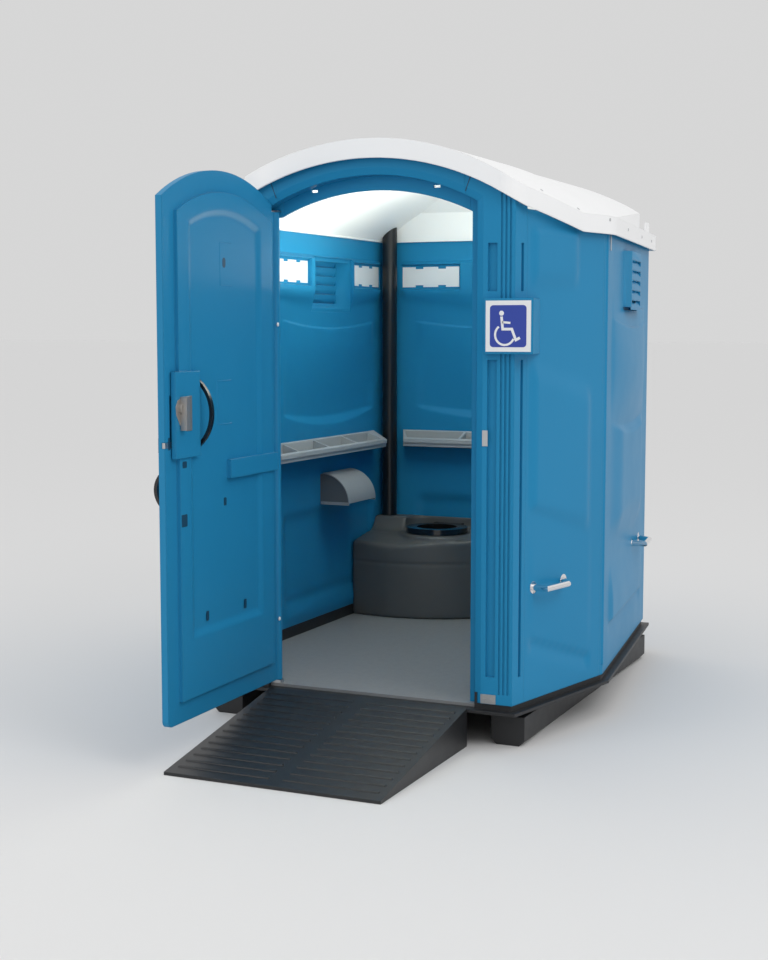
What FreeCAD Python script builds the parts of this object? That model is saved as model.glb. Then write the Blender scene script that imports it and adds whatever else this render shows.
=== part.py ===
"""Portable toilet cabin on skids, with a ramp, an arched door that stands open and a domed roof.

Millimetres. X runs across the front, Y from the front to the back, Z up from the ground.
The pieces are made with X = 0 in the middle of the doorway and Y = 0 on the front face.
At the end they all move in plan, so that the origin is under the middle of the whole outline.
"""

import FreeCAD, Part
import Sketcher
import math
import os

DRIVING_SIZES = (
    ("skid_width", 136, "width of a skid"),
    ("skid_height", 115, "height of a skid"),
    ("skid_front", 53, "front end of the skids behind the front face"),
    ("skid_length", 1800, "length of a skid"),
    ("skid_right", 636, "outer side of the right skid from the doorway middle"),
    ("skid_left", 740, "outer side of the left skid from the doorway middle"),
    ("skid_bevel", 22, "bevel on the lower long edges of a skid"),
    ("rim_top", 145, "top of the base rim above the ground"),
    ("rim_thick", 12, "thickness of the base rim"),
    ("rim_lip", 27, "how far the rim stands out from the walls"),
    ("core_inset", 45, "how far the base core stands in from the walls"),
    ("curb_top", 209, "top of the curb that the walls stand on"),
    ("curb_gap", 8, "outer side of the curb from the outer side of the walls"),
    ("floor_thick", 12, "thickness of the floor sheet"),
    ("front_half", 602, "half the width of the front face"),
    ("seam_back", 687, "distance from the front face back to the side seams"),
    ("seam_right", 760, "right side seam from the doorway middle"),
    ("seam_left", 845, "left side seam and left wall from the doorway middle"),
    ("rear_right", 590, "right rear corner from the doorway middle"),
    ("cabin_depth", 1990, "outer side of the rear wall from the front face"),
    ("wall_thick", 28, "thickness of a wall panel"),
    ("wall_skirt", 168, "lowest edge of the wall skins"),
    ("wall_top", 2054, "top of the side and rear walls"),
    ("skirt_thick", 6, "thickness of the skin that hangs outside the curb"),
    ("post_wrap", 84, "how far a front post wraps round the corner"),
    ("seam_post", 30, "half the width of a seam post"),
    ("rear_post", 46, "length of each arm of a rear corner post"),
    ("seam_groove", 9, "depth of the valley down a seam post"),
    ("frame_depth", 72, "depth of the doorway frame"),
    ("frame_back", 46, "width of the deep part of a front post behind the recess"),
    ("opening_half", 409, "latch side of the clear doorway from its middle"),
    ("opening_left", 426, "hinge side of the clear doorway from its middle"),
    ("opening_spring", 2050, "height where the doorway arch starts"),
    ("opening_rise", 93, "rise of the doorway arch"),
    ("recess_half", 447, "latch side of the door recess from the doorway middle"),
    ("recess_spring", 2085, "height where the recess arch starts"),
    ("recess_rise", 113, "rise of the recess arch"),
    ("recess_depth", 60, "depth of the recess that the door closes into"),
    ("reveal_width", 28, "width of the sloped reveal round the recess"),
    ("reveal_depth", 10, "depth of the sloped reveal"),
    ("header_half", 400, "half the width of the header where it meets the posts"),
    ("header_slot", 28, "length of a slot in the header's stop"),
    ("header_slot_high", 10, "height of a slot in the header's stop"),
    ("header_slot_place", 262, "middle of a slot in the header from the doorway middle"),
    ("header_slot_level", 2149, "height of the slots in the header's stop"),
    ("arch_apex", 2335, "top of the front fascia"),
    ("arch_radius_high", 1110, "radius of the top edge of the front fascia"),
    ("fascia_apex", 2259, "lower edge of the front fascia at its middle"),
    ("arch_radius_low", 1120, "radius of the lower edge of the front fascia"),
    ("roof_thick", 6, "thickness of the roof shell"),
    ("fascia_out", 30, "how far the fascia stands out from the walls"),
    ("fascia_skirt", 1987, "lower edge of the side and rear fascia"),
    ("dome_inset", 42, "how far the dome stands in from the wall faces"),
    ("dome_front", 62, "front end of the dome behind the front face"),
    ("dome_radius", 1130, "cross radius of the dome"),
    ("dome_top", 2345, "height of the dome's crown"),
    ("dome_shift", 60, "crown line to the left of the doorway middle"),
    ("dome_tail", 500, "radius of the dome's rear end"),
    ("dome_bend", 1600, "where the dome's rear end starts to fall, behind the front face"),
    ("roof_flat", 2060, "height of the flat rim round the dome"),
    ("fin_height", 62, "height of the fin on each rear corner of the roof"),
    ("fin_width", 10, "thickness of a roof fin"),
    ("fin_long", 60, "length of a roof fin"),
    ("corner_round", 60, "radius of the roof's front corners"),
    ("seam_round", 260, "radius of the roof's side corners"),
    ("slot_width", 37, "width of the long slot in a front post"),
    ("slot_from_corner", 71, "outer side of that slot from the corner"),
    ("slot_depth", 14, "depth of the slots in a front post"),
    ("slot_low", 274, "lower end of the long slots"),
    ("slot_mid_low", 1489, "upper end of the long slots"),
    ("slot_mid_high", 1747, "lower end of the short slots"),
    ("slot_high", 1926, "upper end of the short slots"),
    ("side_slot_start", 44, "start of the side slot from the corner"),
    ("side_slot_width", 17, "width of the side slot"),
    ("flute_pitch", 17.5, "distance between the corner flutes"),
    ("flute_width", 7, "width of a corner flute"),
    ("flute_depth", 4.5, "depth of a corner flute"),
    ("bulge_low", 1290, "lower end of the bulge of a wall panel at its sides"),
    ("bulge_high", 1745, "upper end of the bulge at its sides"),
    ("bulge_sag", 50, "how much lower the ends of the bulge are at its middle"),
    ("bulge_margin", 105, "flat margin each side of the bulge of a side panel"),
    ("rear_margin", 190, "flat margin each side of the bulge of the rear panel"),
    ("bulge_rise", 42, "how far the bulge stands out"),
    ("bulge_shell", 6, "wall of the bulge"),
    ("plateau_rise", 14, "how far the field below the bulge stands out"),
    ("plateau_low", 870, "height where the field below the bulge starts to slope in"),
    ("plateau_foot", 640, "lower end of that slope"),
    ("groove_level", 350, "height of the groove near the bottom of a panel"),
    ("groove_width", 22, "width of that groove"),
    ("groove_depth", 7, "depth of that groove"),
    ("field_margin", 45, "flat margin each side of the field of a front side panel"),
    ("field_low", 640, "lower edge of the field at its high end"),
    ("field_high", 1400, "upper edge of the field at its high end"),
    ("field_drop", 120, "how much lower the field is at its rear end"),
    ("field_depth", 12, "depth of the field"),
    ("vent_right", 655, "middle of the right wall vent from the seam"),
    ("vent_left", 655, "middle of the left wall vent from the seam"),
    ("vent_width", 300, "width of a wall vent"),
    ("vent_slant", 60, "width of the slanted sides of a wall vent"),
    ("vent_skin", 14, "thickness of the slotted face of a wall vent"),
    ("vent_rise", 26, "how much the slots of a wall vent rise inwards"),
    ("vent_low", 1708, "lowest slot of a wall vent"),
    ("vent_pitch", 44, "distance between the slots of a wall vent"),
    ("vent_slot", 22, "height of a slot of a wall vent"),
    ("vent_bar", 14, "solid edge round the slots of a wall vent"),
    ("vent_depth", 30, "how far a vent box stands out of the wall"),
    ("ramp_length", 810, "length of the ramp along the ground"),
    ("ramp_half", 430, "half the width of the ramp"),
    ("ramp_rear", 150, "height of the ramp at the doorway"),
    ("ramp_toe", 12, "height of the ramp's front edge"),
    ("ramp_skin", 12, "thickness of the ramp's skin"),
    ("rib_height", 4, "height of a ramp rib"),
    ("rib_width", 14, "width of a ramp rib"),
    ("rib_margin", 48, "bare band at the top and at the foot of the ramp"),
    ("rib_length", 372, "length of a ramp rib"),
    ("pivot_left", 431.5, "door hinge line to the left of the doorway middle"),
    ("pivot_back", 38.5, "door hinge line behind the front face"),
    ("door_open", 88.8, "angle that the door stands open, in degrees"),
    ("leaf_room", 3, "gap between the leaf and the edge of its recess"),
    ("leaf_width", 875.5, "door leaf from the hinge line to the free edge"),
    ("leaf_half_thick", 20, "half the thickness of the door leaf"),
    ("leaf_flange", 6, "inner face of the leaf's edge flange from its middle"),
    ("leaf_bottom", 172, "lower edge of the door leaf"),
    ("leaf_spring", 2070, "height where the top of the leaf starts to curve"),
    ("leaf_rise", 122, "rise of the leaf's curved top"),
    ("leaf_corner", 25, "radius of the leaf's lower free corner"),
    ("leaf_notch", 36, "width of the cut corner of the leaf above its hinge"),
    ("leaf_border", 80, "width of the flange round the raised panel"),
    ("leaf_hinge_border", 60, "width of the flange on the hinge side"),
    ("leaf_frame", 155, "edge of the leaf's sunk field from the hinge line and from the free edge"),
    ("leaf_frame_top", 138, "top of the sunk field below the top of the leaf"),
    ("leaf_field_rise", 60, "rise of the sunk field's curved top"),
    ("leaf_recess", 10, "depth of the sunk field"),
    ("leaf_recess_low", 469, "lower edge of the sunk field"),
    ("pin_radius", 7, "radius of a door hinge pin"),
    ("pin_grip", 45, "length of a door hinge pin"),
    ("pin_gap", 0.05, "running gap round a pin"),
    ("bracket_thick", 5, "thickness of the upper hinge bracket"),
    ("latch_pad_far", 216, "far side of the latch pad from the free edge"),
    ("latch_pad_near", 40, "near side of the latch pad from the free edge"),
    ("latch_pad_low", 1143, "lower edge of the latch pad"),
    ("latch_pad_high", 1454, "upper edge of the latch pad"),
    ("latch_pad_rise", 8, "how far the latch pad stands out of the leaf"),
    ("rail_end", 432, "end of the cross rail from the hinge line"),
    ("rail_low", 1040, "lower edge of the cross rail"),
    ("rail_high", 1112, "upper edge of the cross rail"),
    ("rail_rise", 9, "how far the cross rail stands out of the leaf"),
    ("bolt_level", 1193, "height of the latch bolt"),
    ("bolt_throw", 24, "travel of the latch bolt"),
    ("bolt_half_high", 10, "half the height of the latch bolt"),
    ("bolt_half_thick", 6, "half the thickness of the latch bolt"),
    ("strike_depth", 28, "depth of the strike hole in the right post"),
    ("strike_room", 3, "room round the bolt in its strike hole"),
    ("slide_gap", 0.6, "gap round the sliding bolt"),
    ("lever_level", 1322, "height of the latch lever's pivot"),
    ("lever_in", 82, "latch lever's pivot from the free edge"),
    ("crank_reach", 17, "crank radius of the latch lever"),
    ("crank_shift", 12.021, "crank pin beside the pivot at rest"),
    ("crank_pin", 3, "radius of the crank pin"),
    ("crank_room", 46, "room round the crank inside the leaf"),
    ("yoke_slot", 24, "length of the slot in the yoke"),
    ("yoke_half", 9, "half the width of the bolt's yoke"),
    ("yoke_play", 1.2, "play of the crank pin in the yoke"),
    ("shaft_radius", 8, "radius of the latch lever's shaft"),
    ("knob_gap", 2, "gap between the latch pad and the lever"),
    ("knob_radius", 22, "radius of the lever's hub"),
    ("knob_thick", 10, "thickness of the lever's hub"),
    ("grip_half", 12, "half the width of the lever's grip"),
    ("grip_out", 16, "how far the grip stands out of the hub"),
    ("grip_down", 78, "reach of the grip below the pivot"),
    ("grip_up", 42, "reach of the grip above the pivot"),
    ("flag_tab", 8, "width of the tab that carries the flag"),
    ("flag_thick", 2, "thickness of the flag"),
    ("flag_width", 30, "width of the flag"),
    ("flag_high", 30, "height of the flag"),
    ("flag_wall", 2.5, "wall of the indicator box"),
    ("flag_box_high", 51, "height of the indicator box"),
    ("flag_view", 14, "width of the indicator's window"),
    ("pull_gap", 45, "room for fingers behind a pull handle"),
    ("pull_length", 252, "length of the inner pull handle"),
    ("pull_in", 236, "inner pull handle from the free edge"),
    ("pull_level", 1298, "middle height of the inner pull handle"),
    ("outer_pull_length", 150, "length of the outer pull handle"),
    ("outer_pull_in", 46, "outer pull handle from the free edge"),
    ("outer_pull_level", 1030, "middle height of the outer pull handle"),
    ("pull_radius", 8, "half the width of a pull handle's bar"),
    ("tank_front", 1545, "front of the tank"),
    ("tank_slope", 26, "how much farther back the tank's front is at the left wall"),
    ("tank_corner", 615, "place where the tank's front starts to curve, left of the middle"),
    ("tank_radius", 690, "radius of the tank's curved side"),
    ("tank_lip_low", 504, "height where the tank's front edge starts to lean back"),
    ("tank_lip_high", 537, "height of the tank's front edge"),
    ("tank_lip_back", 32, "how far the tank's front edge leans back"),
    ("tank_step_low", 563, "height of the tank's top at the foot of its rear step"),
    ("tank_step_front", 1741, "foot of the rear step behind the front face"),
    ("tank_step_back", 1843, "top of the rear step behind the front face"),
    ("tank_step_round", 92, "radius of the hollow rear step"),
    ("deck_top", 574, "height of the deck that carries the seat"),
    ("deck_foot", 480, "lowest part of the deck inside the tank's form"),
    ("deck_margin", 24, "how far the deck reaches beyond the seat"),
    ("deck_room", 22, "room beside the deck in the rear step"),
    ("niche_room", 8, "room behind the seat's bracket in the rear step"),
    ("niche_round", 86, "radius of the rear corners of the seat's niche"),
    ("ledge_top", 635, "height of the tank behind its rear step"),
    ("seat_left", 430, "middle of the seat to the left of the doorway middle"),
    ("seat_back", 1765, "middle of the seat behind the front face"),
    ("seat_half_width", 158, "half the width of the seat"),
    ("seat_half_length", 144, "half the length of the seat"),
    ("seat_thick", 28, "thickness of the seat ring"),
    ("seat_lift", 3, "gap between the deck and the seat"),
    ("seat_arm", 16, "hinge line behind the seat ring"),
    ("seat_arm_half", 64, "half the width of the seat arm at its hinge"),
    ("seat_pin", 4, "radius of the seat's hinge pin"),
    ("seat_lug", 12, "width of a lug that carries the pin"),
    ("seat_rail", 4, "thickness of the rail that joins the bracket's lugs"),
    ("seat_rail_high", 16, "height of that rail"),
    ("arm_end", 6, "how far the seat arm reaches beyond the hinge line"),
    ("arm_gap", 1, "gap between the seat arm and the bracket"),
    ("bowl_radius", 108, "radius of the hole in the tank"),
    ("bowl_floor", 190, "bottom of the tank's bowl space"),
    ("pipe_radius", 38, "outer radius of the vent pipe"),
    ("pipe_wall", 3, "wall of the vent pipe"),
    ("pipe_gap", 26, "gap between the vent pipe and the walls"),
    ("pipe_room", 0.5, "room round the vent pipe in the roof"),
    ("pipe_top", 2190, "top of the vent pipe"),
    ("cap_height", 34, "height of the vanes under the rain cap of the vent pipe"),
    ("cap_radius", 48, "radius of the rain cap"),
    ("cap_thick", 6, "thickness of the rain cap and of its vanes"),
    ("shelf_top", 1082, "height of a shelf's back edge"),
    ("shelf_depth", 112, "how far a shelf stands out of the wall"),
    ("shelf_fall", 40, "how much lower a shelf's front lip is"),
    ("shelf_height", 44, "height of a shelf's tray"),
    ("shelf_lip", 38, "height of a shelf's front lip"),
    ("shelf_step", 8, "how far the lower half of a shelf's lip stands back"),
    ("shelf_mitre", 80, "cut corner of the left shelf's lip at its far end"),
    ("shelf_rim", 14, "width of the rim round the bays of a shelf"),
    ("shelf_bay", 310, "length of a middle bay of a shelf"),
    ("shelf_wall", 5, "wall of a shelf's tray"),
    ("shelf_start", 600, "front end of the left shelf behind the front face"),
    ("shelf_length", 1235, "length of the left shelf"),
    ("shelf_rear_start", 704, "left end of the rear shelf from the doorway middle"),
    ("shelf_rear_mitre", 50, "cut corner of the rear shelf's lip at its near end"),
    ("shelf_rear_bay", 290, "length of a middle bay of the rear shelf"),
    ("shelf_rear_length", 1245, "length of the rear shelf"),
    ("paper_start", 1212, "front end of the paper holder behind the front face"),
    ("paper_length", 300, "length of the paper holder"),
    ("paper_low", 765, "height of the paper holder's hinge line"),
    ("paper_pin_out", 10, "paper holder's hinge line from the wall"),
    ("paper_radius", 146, "outer radius of the paper holder's cover"),
    ("paper_shell", 3, "thickness of the paper holder's cover"),
    ("paper_cheek", 5, "thickness of the paper holder's cheeks"),
    ("cover_pin", 4, "radius of the cover's hinge pin"),
    ("cover_arm", 4, "thickness of the cover's arms"),
    ("roll_out", 62, "paper roll's middle from the cover's hinge line"),
    ("roll_up", 62, "paper roll's middle above the cover's hinge line"),
    ("roll_radius", 48, "radius of a paper roll"),
    ("spindle_radius", 19, "radius of the spindle that carries the rolls"),
    ("bar_radius", 12.5, "radius of a side grab bar"),
    ("bar_level", 610, "height of the side grab bars"),
    ("bar_length", 226, "length of a side grab bar"),
    ("bar_stand", 76, "how far a grab bar stands out of the wall"),
    ("bar_slant", 70, "how far the rear leg of a grab bar leans back"),
    ("bar_disc", 24, "radius of a grab bar's wall discs"),
    ("bar_front_start", 146, "start of a front side grab bar from the front corner"),
    ("bar_rear_start", 838, "start of a rear side grab bar from the seam"),
    ("box_low", 1512, "lower side of the sign box"),
    ("box_height", 208, "height of the sign box"),
    ("box_front", 25, "how far the sign box stands out of the front"),
    ("box_left", 113, "left side of the sign box from the corner"),
    ("box_right", 81, "right side of the sign box from the corner"),
    ("box_reach", 180, "where the sign box ends along the side wall"),
    ("sign_width", 178, "width of the sign plate"),
    ("sign_height", 190, "height of the sign plate"),
    ("plate_thick", 3, "thickness of the sign and notice plates"),
    ("notice_length", 315, "length of a notice plate"),
    ("notice_height", 103, "height of a notice plate"),
    ("notch_width", 44, "width of a notch in a notice plate"),
    ("notch_depth", 10, "depth of a notch in a notice plate"),
    ("notice_near", 766, "start of the near notice plate behind the front face"),
    ("notice_far", 1577, "start of the far notice plate behind the front face"),
    ("notice_rear", 706, "left end of the rear notice plate from the doorway middle"),
    ("strike_width", 22, "width of the strike plate"),
    ("strike_height", 60, "height of the strike plate"),
    ("foot_from_corner", 126, "left side of the right foot bracket from the corner"),
    ("foot_width", 61, "width of a foot bracket"),
    ("foot_height", 36, "height of a foot bracket"),
    ("foot_thick", 4, "thickness of a foot bracket"),
    ("bolt_head", 7, "radius of a bolt head"),
    ("bolt_head_high", 4, "height of a bolt head"),
    ("notice_level", 1875, "middle height of the notice plates"),
)


class Term:
    """A number that keeps the sheet formula it came from."""

    def __init__(self, value, formula):
        self.value = float(value)
        self.formula = formula

    def __add__(self, other):
        other = as_term(other)
        return Term(self.value + other.value, "(%s + %s)" % (self.formula, other.formula))

    def __sub__(self, other):
        other = as_term(other)
        return Term(self.value - other.value, "(%s - %s)" % (self.formula, other.formula))

    def __mul__(self, other):
        other = as_term(other)
        return Term(self.value * other.value, "(%s * %s)" % (self.formula, other.formula))

    def __truediv__(self, other):
        other = as_term(other)
        return Term(self.value / other.value, "(%s / %s)" % (self.formula, other.formula))

    def __radd__(self, other):
        return as_term(other) + self

    def __rsub__(self, other):
        return as_term(other) - self

    def __rmul__(self, other):
        return as_term(other) * self

    def __neg__(self):
        return Term(-self.value, "(0 - %s)" % self.formula)

    def sqrt(self):
        return Term(math.sqrt(self.value), "sqrt(%s)" % self.formula)

    def sine(self):
        """The sine of an angle in degrees."""
        return Term(math.sin(math.radians(self.value)), "sin(%s)" % self.formula)

    def cosine(self):
        """The cosine of an angle in degrees."""
        return Term(math.cos(math.radians(self.value)), "cos(%s)" % self.formula)


def as_term(number):
    return number if isinstance(number, Term) else Term(number, repr(number))


class Sizes:
    """The driving dimensions, each one a term named as in the sheet."""


doc = FreeCAD.newDocument("PortableToiletCabin")
sheet = doc.addObject("Spreadsheet::Sheet", "Sizes")
size = Sizes()
for row, (alias, number, meaning) in enumerate(DRIVING_SIZES, start=1):
    sheet.set("A%d" % row, meaning)
    sheet.set("B%d" % row, str(number))
    sheet.setAlias("B%d" % row, alias)
    setattr(size, alias, Term(number, "Sizes." + alias))
doc.recompute()

NODES = []
RAMP_RIBS = 14
VENT_SLOTS = 5
DISC_SIDES = 24


# Building helpers

def bind(obj, path, term):
    """Sets a property to a term's value and ties it to the term's formula."""
    term = as_term(term)
    if hasattr(obj, path):
        setattr(obj, path, term.value)
    obj.setExpression(path, term.formula)


def place(obj, x=0, y=0, z=0, axis=None, angle=None):
    """Puts an object at a point given in terms, turned about an axis by an angle in degrees."""
    if axis is not None:
        obj.Placement = FreeCAD.Placement(FreeCAD.Vector(), FreeCAD.Rotation(FreeCAD.Vector(*axis), 1))
        obj.setExpression("Placement.Rotation.Angle", as_term(angle).formula)
    for name, term in zip("xyz", (x, y, z)):
        obj.setExpression("Placement.Base." + name, as_term(term).formula)
    return obj


def node(obj, name):
    """Marks an object as one piece of the cabin."""
    obj.Label = name
    NODES.append(obj)
    return obj


def new_body(name):
    return node(plain_body(), name)


def plain_body():
    """A body that becomes part of another piece."""
    return doc.addObject("PartDesign::Body", "Body")


def origin_plane(body, role):
    for feature in body.Origin.OriginFeatures:
        if feature.Role == role:
            return feature


def new_sketch(body, plane, lift):
    """A sketch on a plane, lifted along that plane's normal; alone when body is None."""
    if body is None:
        sketch = doc.addObject("Sketcher::SketchObject", "Outline")
        turns = {
            "XY_Plane": FreeCAD.Rotation(),
            "XZ_Plane": FreeCAD.Rotation(FreeCAD.Vector(1, 0, 0), 90),
            "YZ_Plane": FreeCAD.Rotation(FreeCAD.Vector(1, 1, 1), 120),
        }
        axis = {"XY_Plane": "z", "XZ_Plane": "y", "YZ_Plane": "x"}[plane]
        sketch.Placement = FreeCAD.Placement(FreeCAD.Vector(), turns[plane])
        if lift is not None:
            sketch.setExpression("Placement.Base." + axis, as_term(lift).formula)
        return sketch
    sketch = body.newObject("Sketcher::SketchObject", "Sketch")
    sketch.AttachmentSupport = [(origin_plane(body, plane), "")]
    sketch.MapMode = "FlatFace"
    if lift is not None:
        sketch.setExpression("AttachmentOffset.Base.z", as_term(lift).formula)
    return sketch


def arc_edge(start, end, radius, side):
    """The arc from start to end; side 1 keeps its centre to the left of the way, -1 to the right."""
    chord = end - start
    middle = (start + end) * 0.5
    half = chord.Length / 2
    reach = math.sqrt(max(radius * radius - half * half, 0.0))
    left = FreeCAD.Vector(-chord.y, chord.x, 0).normalize()
    centre = middle + left * (reach * side)
    first, last = (start, end) if side > 0 else (end, start)
    circle = Part.Circle(centre, FreeCAD.Vector(0, 0, 1), radius)
    return Part.ArcOfCircle(circle, circle.parameter(first), circle.parameter(last))


def tie_point(sketch, index, position, x, y):
    """Fixes one point of a sketch to two terms."""
    for kind, axis, term in (("DistanceX", -2, x), ("DistanceY", -1, y)):
        term = as_term(term)
        if term.formula in ("0", "0.0"):
            sketch.addConstraint(Sketcher.Constraint("PointOnObject", index, position, axis))
            continue
        number = sketch.addConstraint(Sketcher.Constraint(kind, -1, 1, index, position, term.value))
        sketch.setExpression("Constraints[%d]" % number, term.formula)


def outline(body, plane, corners, arcs=None, lift=None):
    """A closed outline through corners given as pairs of terms.

    arcs maps the number of an edge to its (radius, side), as in arc_edge.
    """
    arcs = arcs or {}
    sketch = new_sketch(body, plane, lift)
    corners = [(as_term(x), as_term(y)) for x, y in corners]
    points = [FreeCAD.Vector(x.value, y.value, 0) for x, y in corners]
    count = len(points)
    starts = []
    ends = []
    for index in range(count):
        start, end = points[index], points[(index + 1) % count]
        if index in arcs:
            radius, side = arcs[index]
            radius = as_term(radius)
            sketch.addGeometry(arc_edge(start, end, radius.value, side), False)
            starts.append(1 if side > 0 else 2)
            ends.append(2 if side > 0 else 1)
        else:
            sketch.addGeometry(Part.LineSegment(start, end), False)
            starts.append(1)
            ends.append(2)
    for index in range(count):
        after = (index + 1) % count
        sketch.addConstraint(Sketcher.Constraint("Coincident", index, ends[index], after, starts[after]))
    for index, (x, y) in enumerate(corners):
        tie_point(sketch, index, starts[index], x, y)
    for index, (radius, side) in arcs.items():
        radius = as_term(radius)
        number = sketch.addConstraint(Sketcher.Constraint("Radius", index, radius.value))
        sketch.setExpression("Constraints[%d]" % number, radius.formula)
    return sketch


def rectangle(body, plane, low_x, high_x, low_y, high_y, lift=None):
    corners = ((low_x, low_y), (high_x, low_y), (high_x, high_y), (low_x, high_y))
    return outline(body, plane, corners, lift=lift)


def discs(body, plane, circles, lift=None):
    """Circles given as (x, y, radius) in terms, in one sketch."""
    sketch = new_sketch(body, plane, lift)
    for x, y, radius in circles:
        x, y, radius = as_term(x), as_term(y), as_term(radius)
        centre = FreeCAD.Vector(x.value, y.value, 0)
        index = sketch.addGeometry(Part.Circle(centre, FreeCAD.Vector(0, 0, 1), radius.value), False)
        tie_point(sketch, index, 3, x, y)
        number = sketch.addConstraint(Sketcher.Constraint("Radius", index, radius.value))
        sketch.setExpression("Constraints[%d]" % number, radius.formula)
    return sketch


def pad(body, sketch, length, backwards=False, middle=False):
    feature = body.newObject("PartDesign::Pad", "Pad")
    feature.Profile = sketch
    bind(feature, "Length", length)
    feature.Reversed = backwards
    feature.Midplane = middle
    return feature


def pocket(body, sketch, length, backwards=False, middle=False):
    feature = body.newObject("PartDesign::Pocket", "Pocket")
    feature.Profile = sketch
    bind(feature, "Length", length)
    feature.Reversed = backwards
    feature.Midplane = middle
    return feature


def row_of(body, feature, sketch, axis, count, reach):
    """Repeats a feature along a sketch axis, count times over the given reach."""
    pattern = body.newObject("PartDesign::LinearPattern", "Row")
    pattern.Originals = [feature]
    pattern.Direction = (sketch, [axis])
    bind(pattern, "Length", reach)
    pattern.Occurrences = count
    body.Tip = pattern
    return pattern


def block(x, y, z, width, depth, height):
    box = doc.addObject("Part::Box", "Block")
    for name, term in (("Length", width), ("Width", depth), ("Height", height)):
        bind(box, name, term)
    return place(box, x, y, z)


def rod(x, y, z, radius, length, axis="z"):
    """A cylinder that starts at a point and runs along an axis."""
    cylinder = doc.addObject("Part::Cylinder", "Rod")
    bind(cylinder, "Radius", radius)
    bind(cylinder, "Height", length)
    if axis == "x":
        return place(cylinder, x, y, z, (0, 1, 0), 90)
    if axis == "y":
        return place(cylinder, x, y, z, (1, 0, 0), -90)
    return place(cylinder, x, y, z)


def many_sided(x, y, z, sides, radius, length, axis="z"):
    """A prism with equal sides that starts at a point and runs along an axis."""
    shape = doc.addObject("Part::Prism", "ManySided")
    shape.Polygon = sides
    bind(shape, "Circumradius", radius)
    bind(shape, "Height", length)
    if axis == "y":
        return place(shape, x, y, z, (1, 0, 0), -90)
    return place(shape, x, y, z)


def prism(corners, low, high, arcs=None, plane="XY_Plane"):
    """A plan outline raised from one height to another."""
    extrusion = doc.addObject("Part::Extrusion", "Prism")
    extrusion.Base = outline(None, plane, corners, arcs, low)
    extrusion.DirMode = "Normal"
    extrusion.Solid = True
    bind(extrusion, "LengthFwd", as_term(high) - low)
    return extrusion


def cut(base, tool):
    result = doc.addObject("Part::Cut", "Cut")
    result.Base = base
    result.Tool = tool
    return result


def fuse(*pieces):
    result = doc.addObject("Part::MultiFuse", "Fusion")
    result.Shapes = list(pieces)
    return result


def common(*pieces):
    result = doc.addObject("Part::MultiCommon", "Common")
    result.Shapes = list(pieces)
    return result


def group(*pieces):
    """Separate solids that are one piece of the cabin's list, such as a set of rivets."""
    result = doc.addObject("Part::Compound", "Group")
    result.Links = list(pieces)
    return result


def arch_radius(half, rise):
    return (half * half + rise * rise) / (rise * 2)


# The plan of the walls: corners of the outer faces, anticlockwise from the front left

FRONT_LEFT = (-size.front_half, as_term(0))
FRONT_RIGHT = (size.front_half, as_term(0))
SEAM_RIGHT = (size.seam_right, size.seam_back)
REAR_RIGHT = (size.rear_right, size.cabin_depth)
REAR_LEFT = (-size.seam_left, size.cabin_depth)
SEAM_LEFT = (-size.seam_left, size.seam_back)
PLAN = (FRONT_LEFT, FRONT_RIGHT, SEAM_RIGHT, REAR_RIGHT, REAR_LEFT, SEAM_LEFT)


def run(start, end):
    """Length and unit direction of the way between two plan points."""
    across = end[0] - start[0]
    back = end[1] - start[1]
    length = (across * across + back * back).sqrt()
    return length, (across / length, back / length)


def on_way(start, direction, distance, inward=0):
    """A plan point at a distance along a way and to its left, which is the cabin's inside."""
    x = start[0] + direction[0] * distance - direction[1] * inward
    y = start[1] + direction[1] * distance + direction[0] * inward
    return (x, y)


def inset_corner(before, corner, after, inset):
    """Where the two walls at a corner meet after both are moved inwards."""
    _, first = run(before, corner)
    _, second = run(corner, after)
    normal_one = (-first[1], first[0])
    normal_two = (-second[1], second[0])
    spread = 1 + normal_one[0] * normal_two[0] + normal_one[1] * normal_two[1]
    x = corner[0] + (normal_one[0] + normal_two[0]) * inset / spread
    y = corner[1] + (normal_one[1] + normal_two[1]) * inset / spread
    return (x, y)


def inset_plan(inset):
    """The plan's corners moved inwards, or outwards when inset is negative."""
    corners = []
    for index, corner in enumerate(PLAN):
        before = PLAN[index - 1]
        after = PLAN[(index + 1) % len(PLAN)]
        corners.append(inset_corner(before, corner, after, inset))
    return corners


def rounded_plan(inset):
    """The inset plan with round front and side corners: its corners and the arcs between them."""
    sharp = inset_plan(inset)
    rounds = {0: size.corner_round, 1: size.corner_round, 2: size.seam_round, 5: size.seam_round}
    corners = []
    arcs = {}
    for index, corner in enumerate(sharp):
        if index not in rounds:
            corners.append(corner)
            continue
        radius = rounds[index] - inset
        _, first = run(PLAN[index - 1], PLAN[index])
        _, second = run(PLAN[index], PLAN[(index + 1) % len(PLAN)])
        turn = first[0] * second[1] - first[1] * second[0]
        reach = radius * turn / (1 + first[0] * second[0] + first[1] * second[1])
        arcs[len(corners)] = (radius, 1)
        corners.append(on_way(corner, first, -reach))
        corners.append(on_way(corner, second, reach))
    return corners, arcs


def recess_left():
    """Hinge side of the door recess from the doorway's middle."""
    return size.pivot_left + size.leaf_half_thick + size.leaf_room


# Base, floor and ramp

def make_skid(name, inner_x):
    body = new_body(name)
    outer_x = inner_x + size.skid_width
    bevel = size.skid_bevel
    section = outline(body, "XZ_Plane", (
        (inner_x + bevel, 0),
        (outer_x - bevel, 0),
        (outer_x, bevel),
        (outer_x, size.skid_height),
        (inner_x, size.skid_height),
        (inner_x, bevel),
    ), lift=-size.skid_front)
    pad(body, section, size.skid_length, backwards=True)


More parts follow.
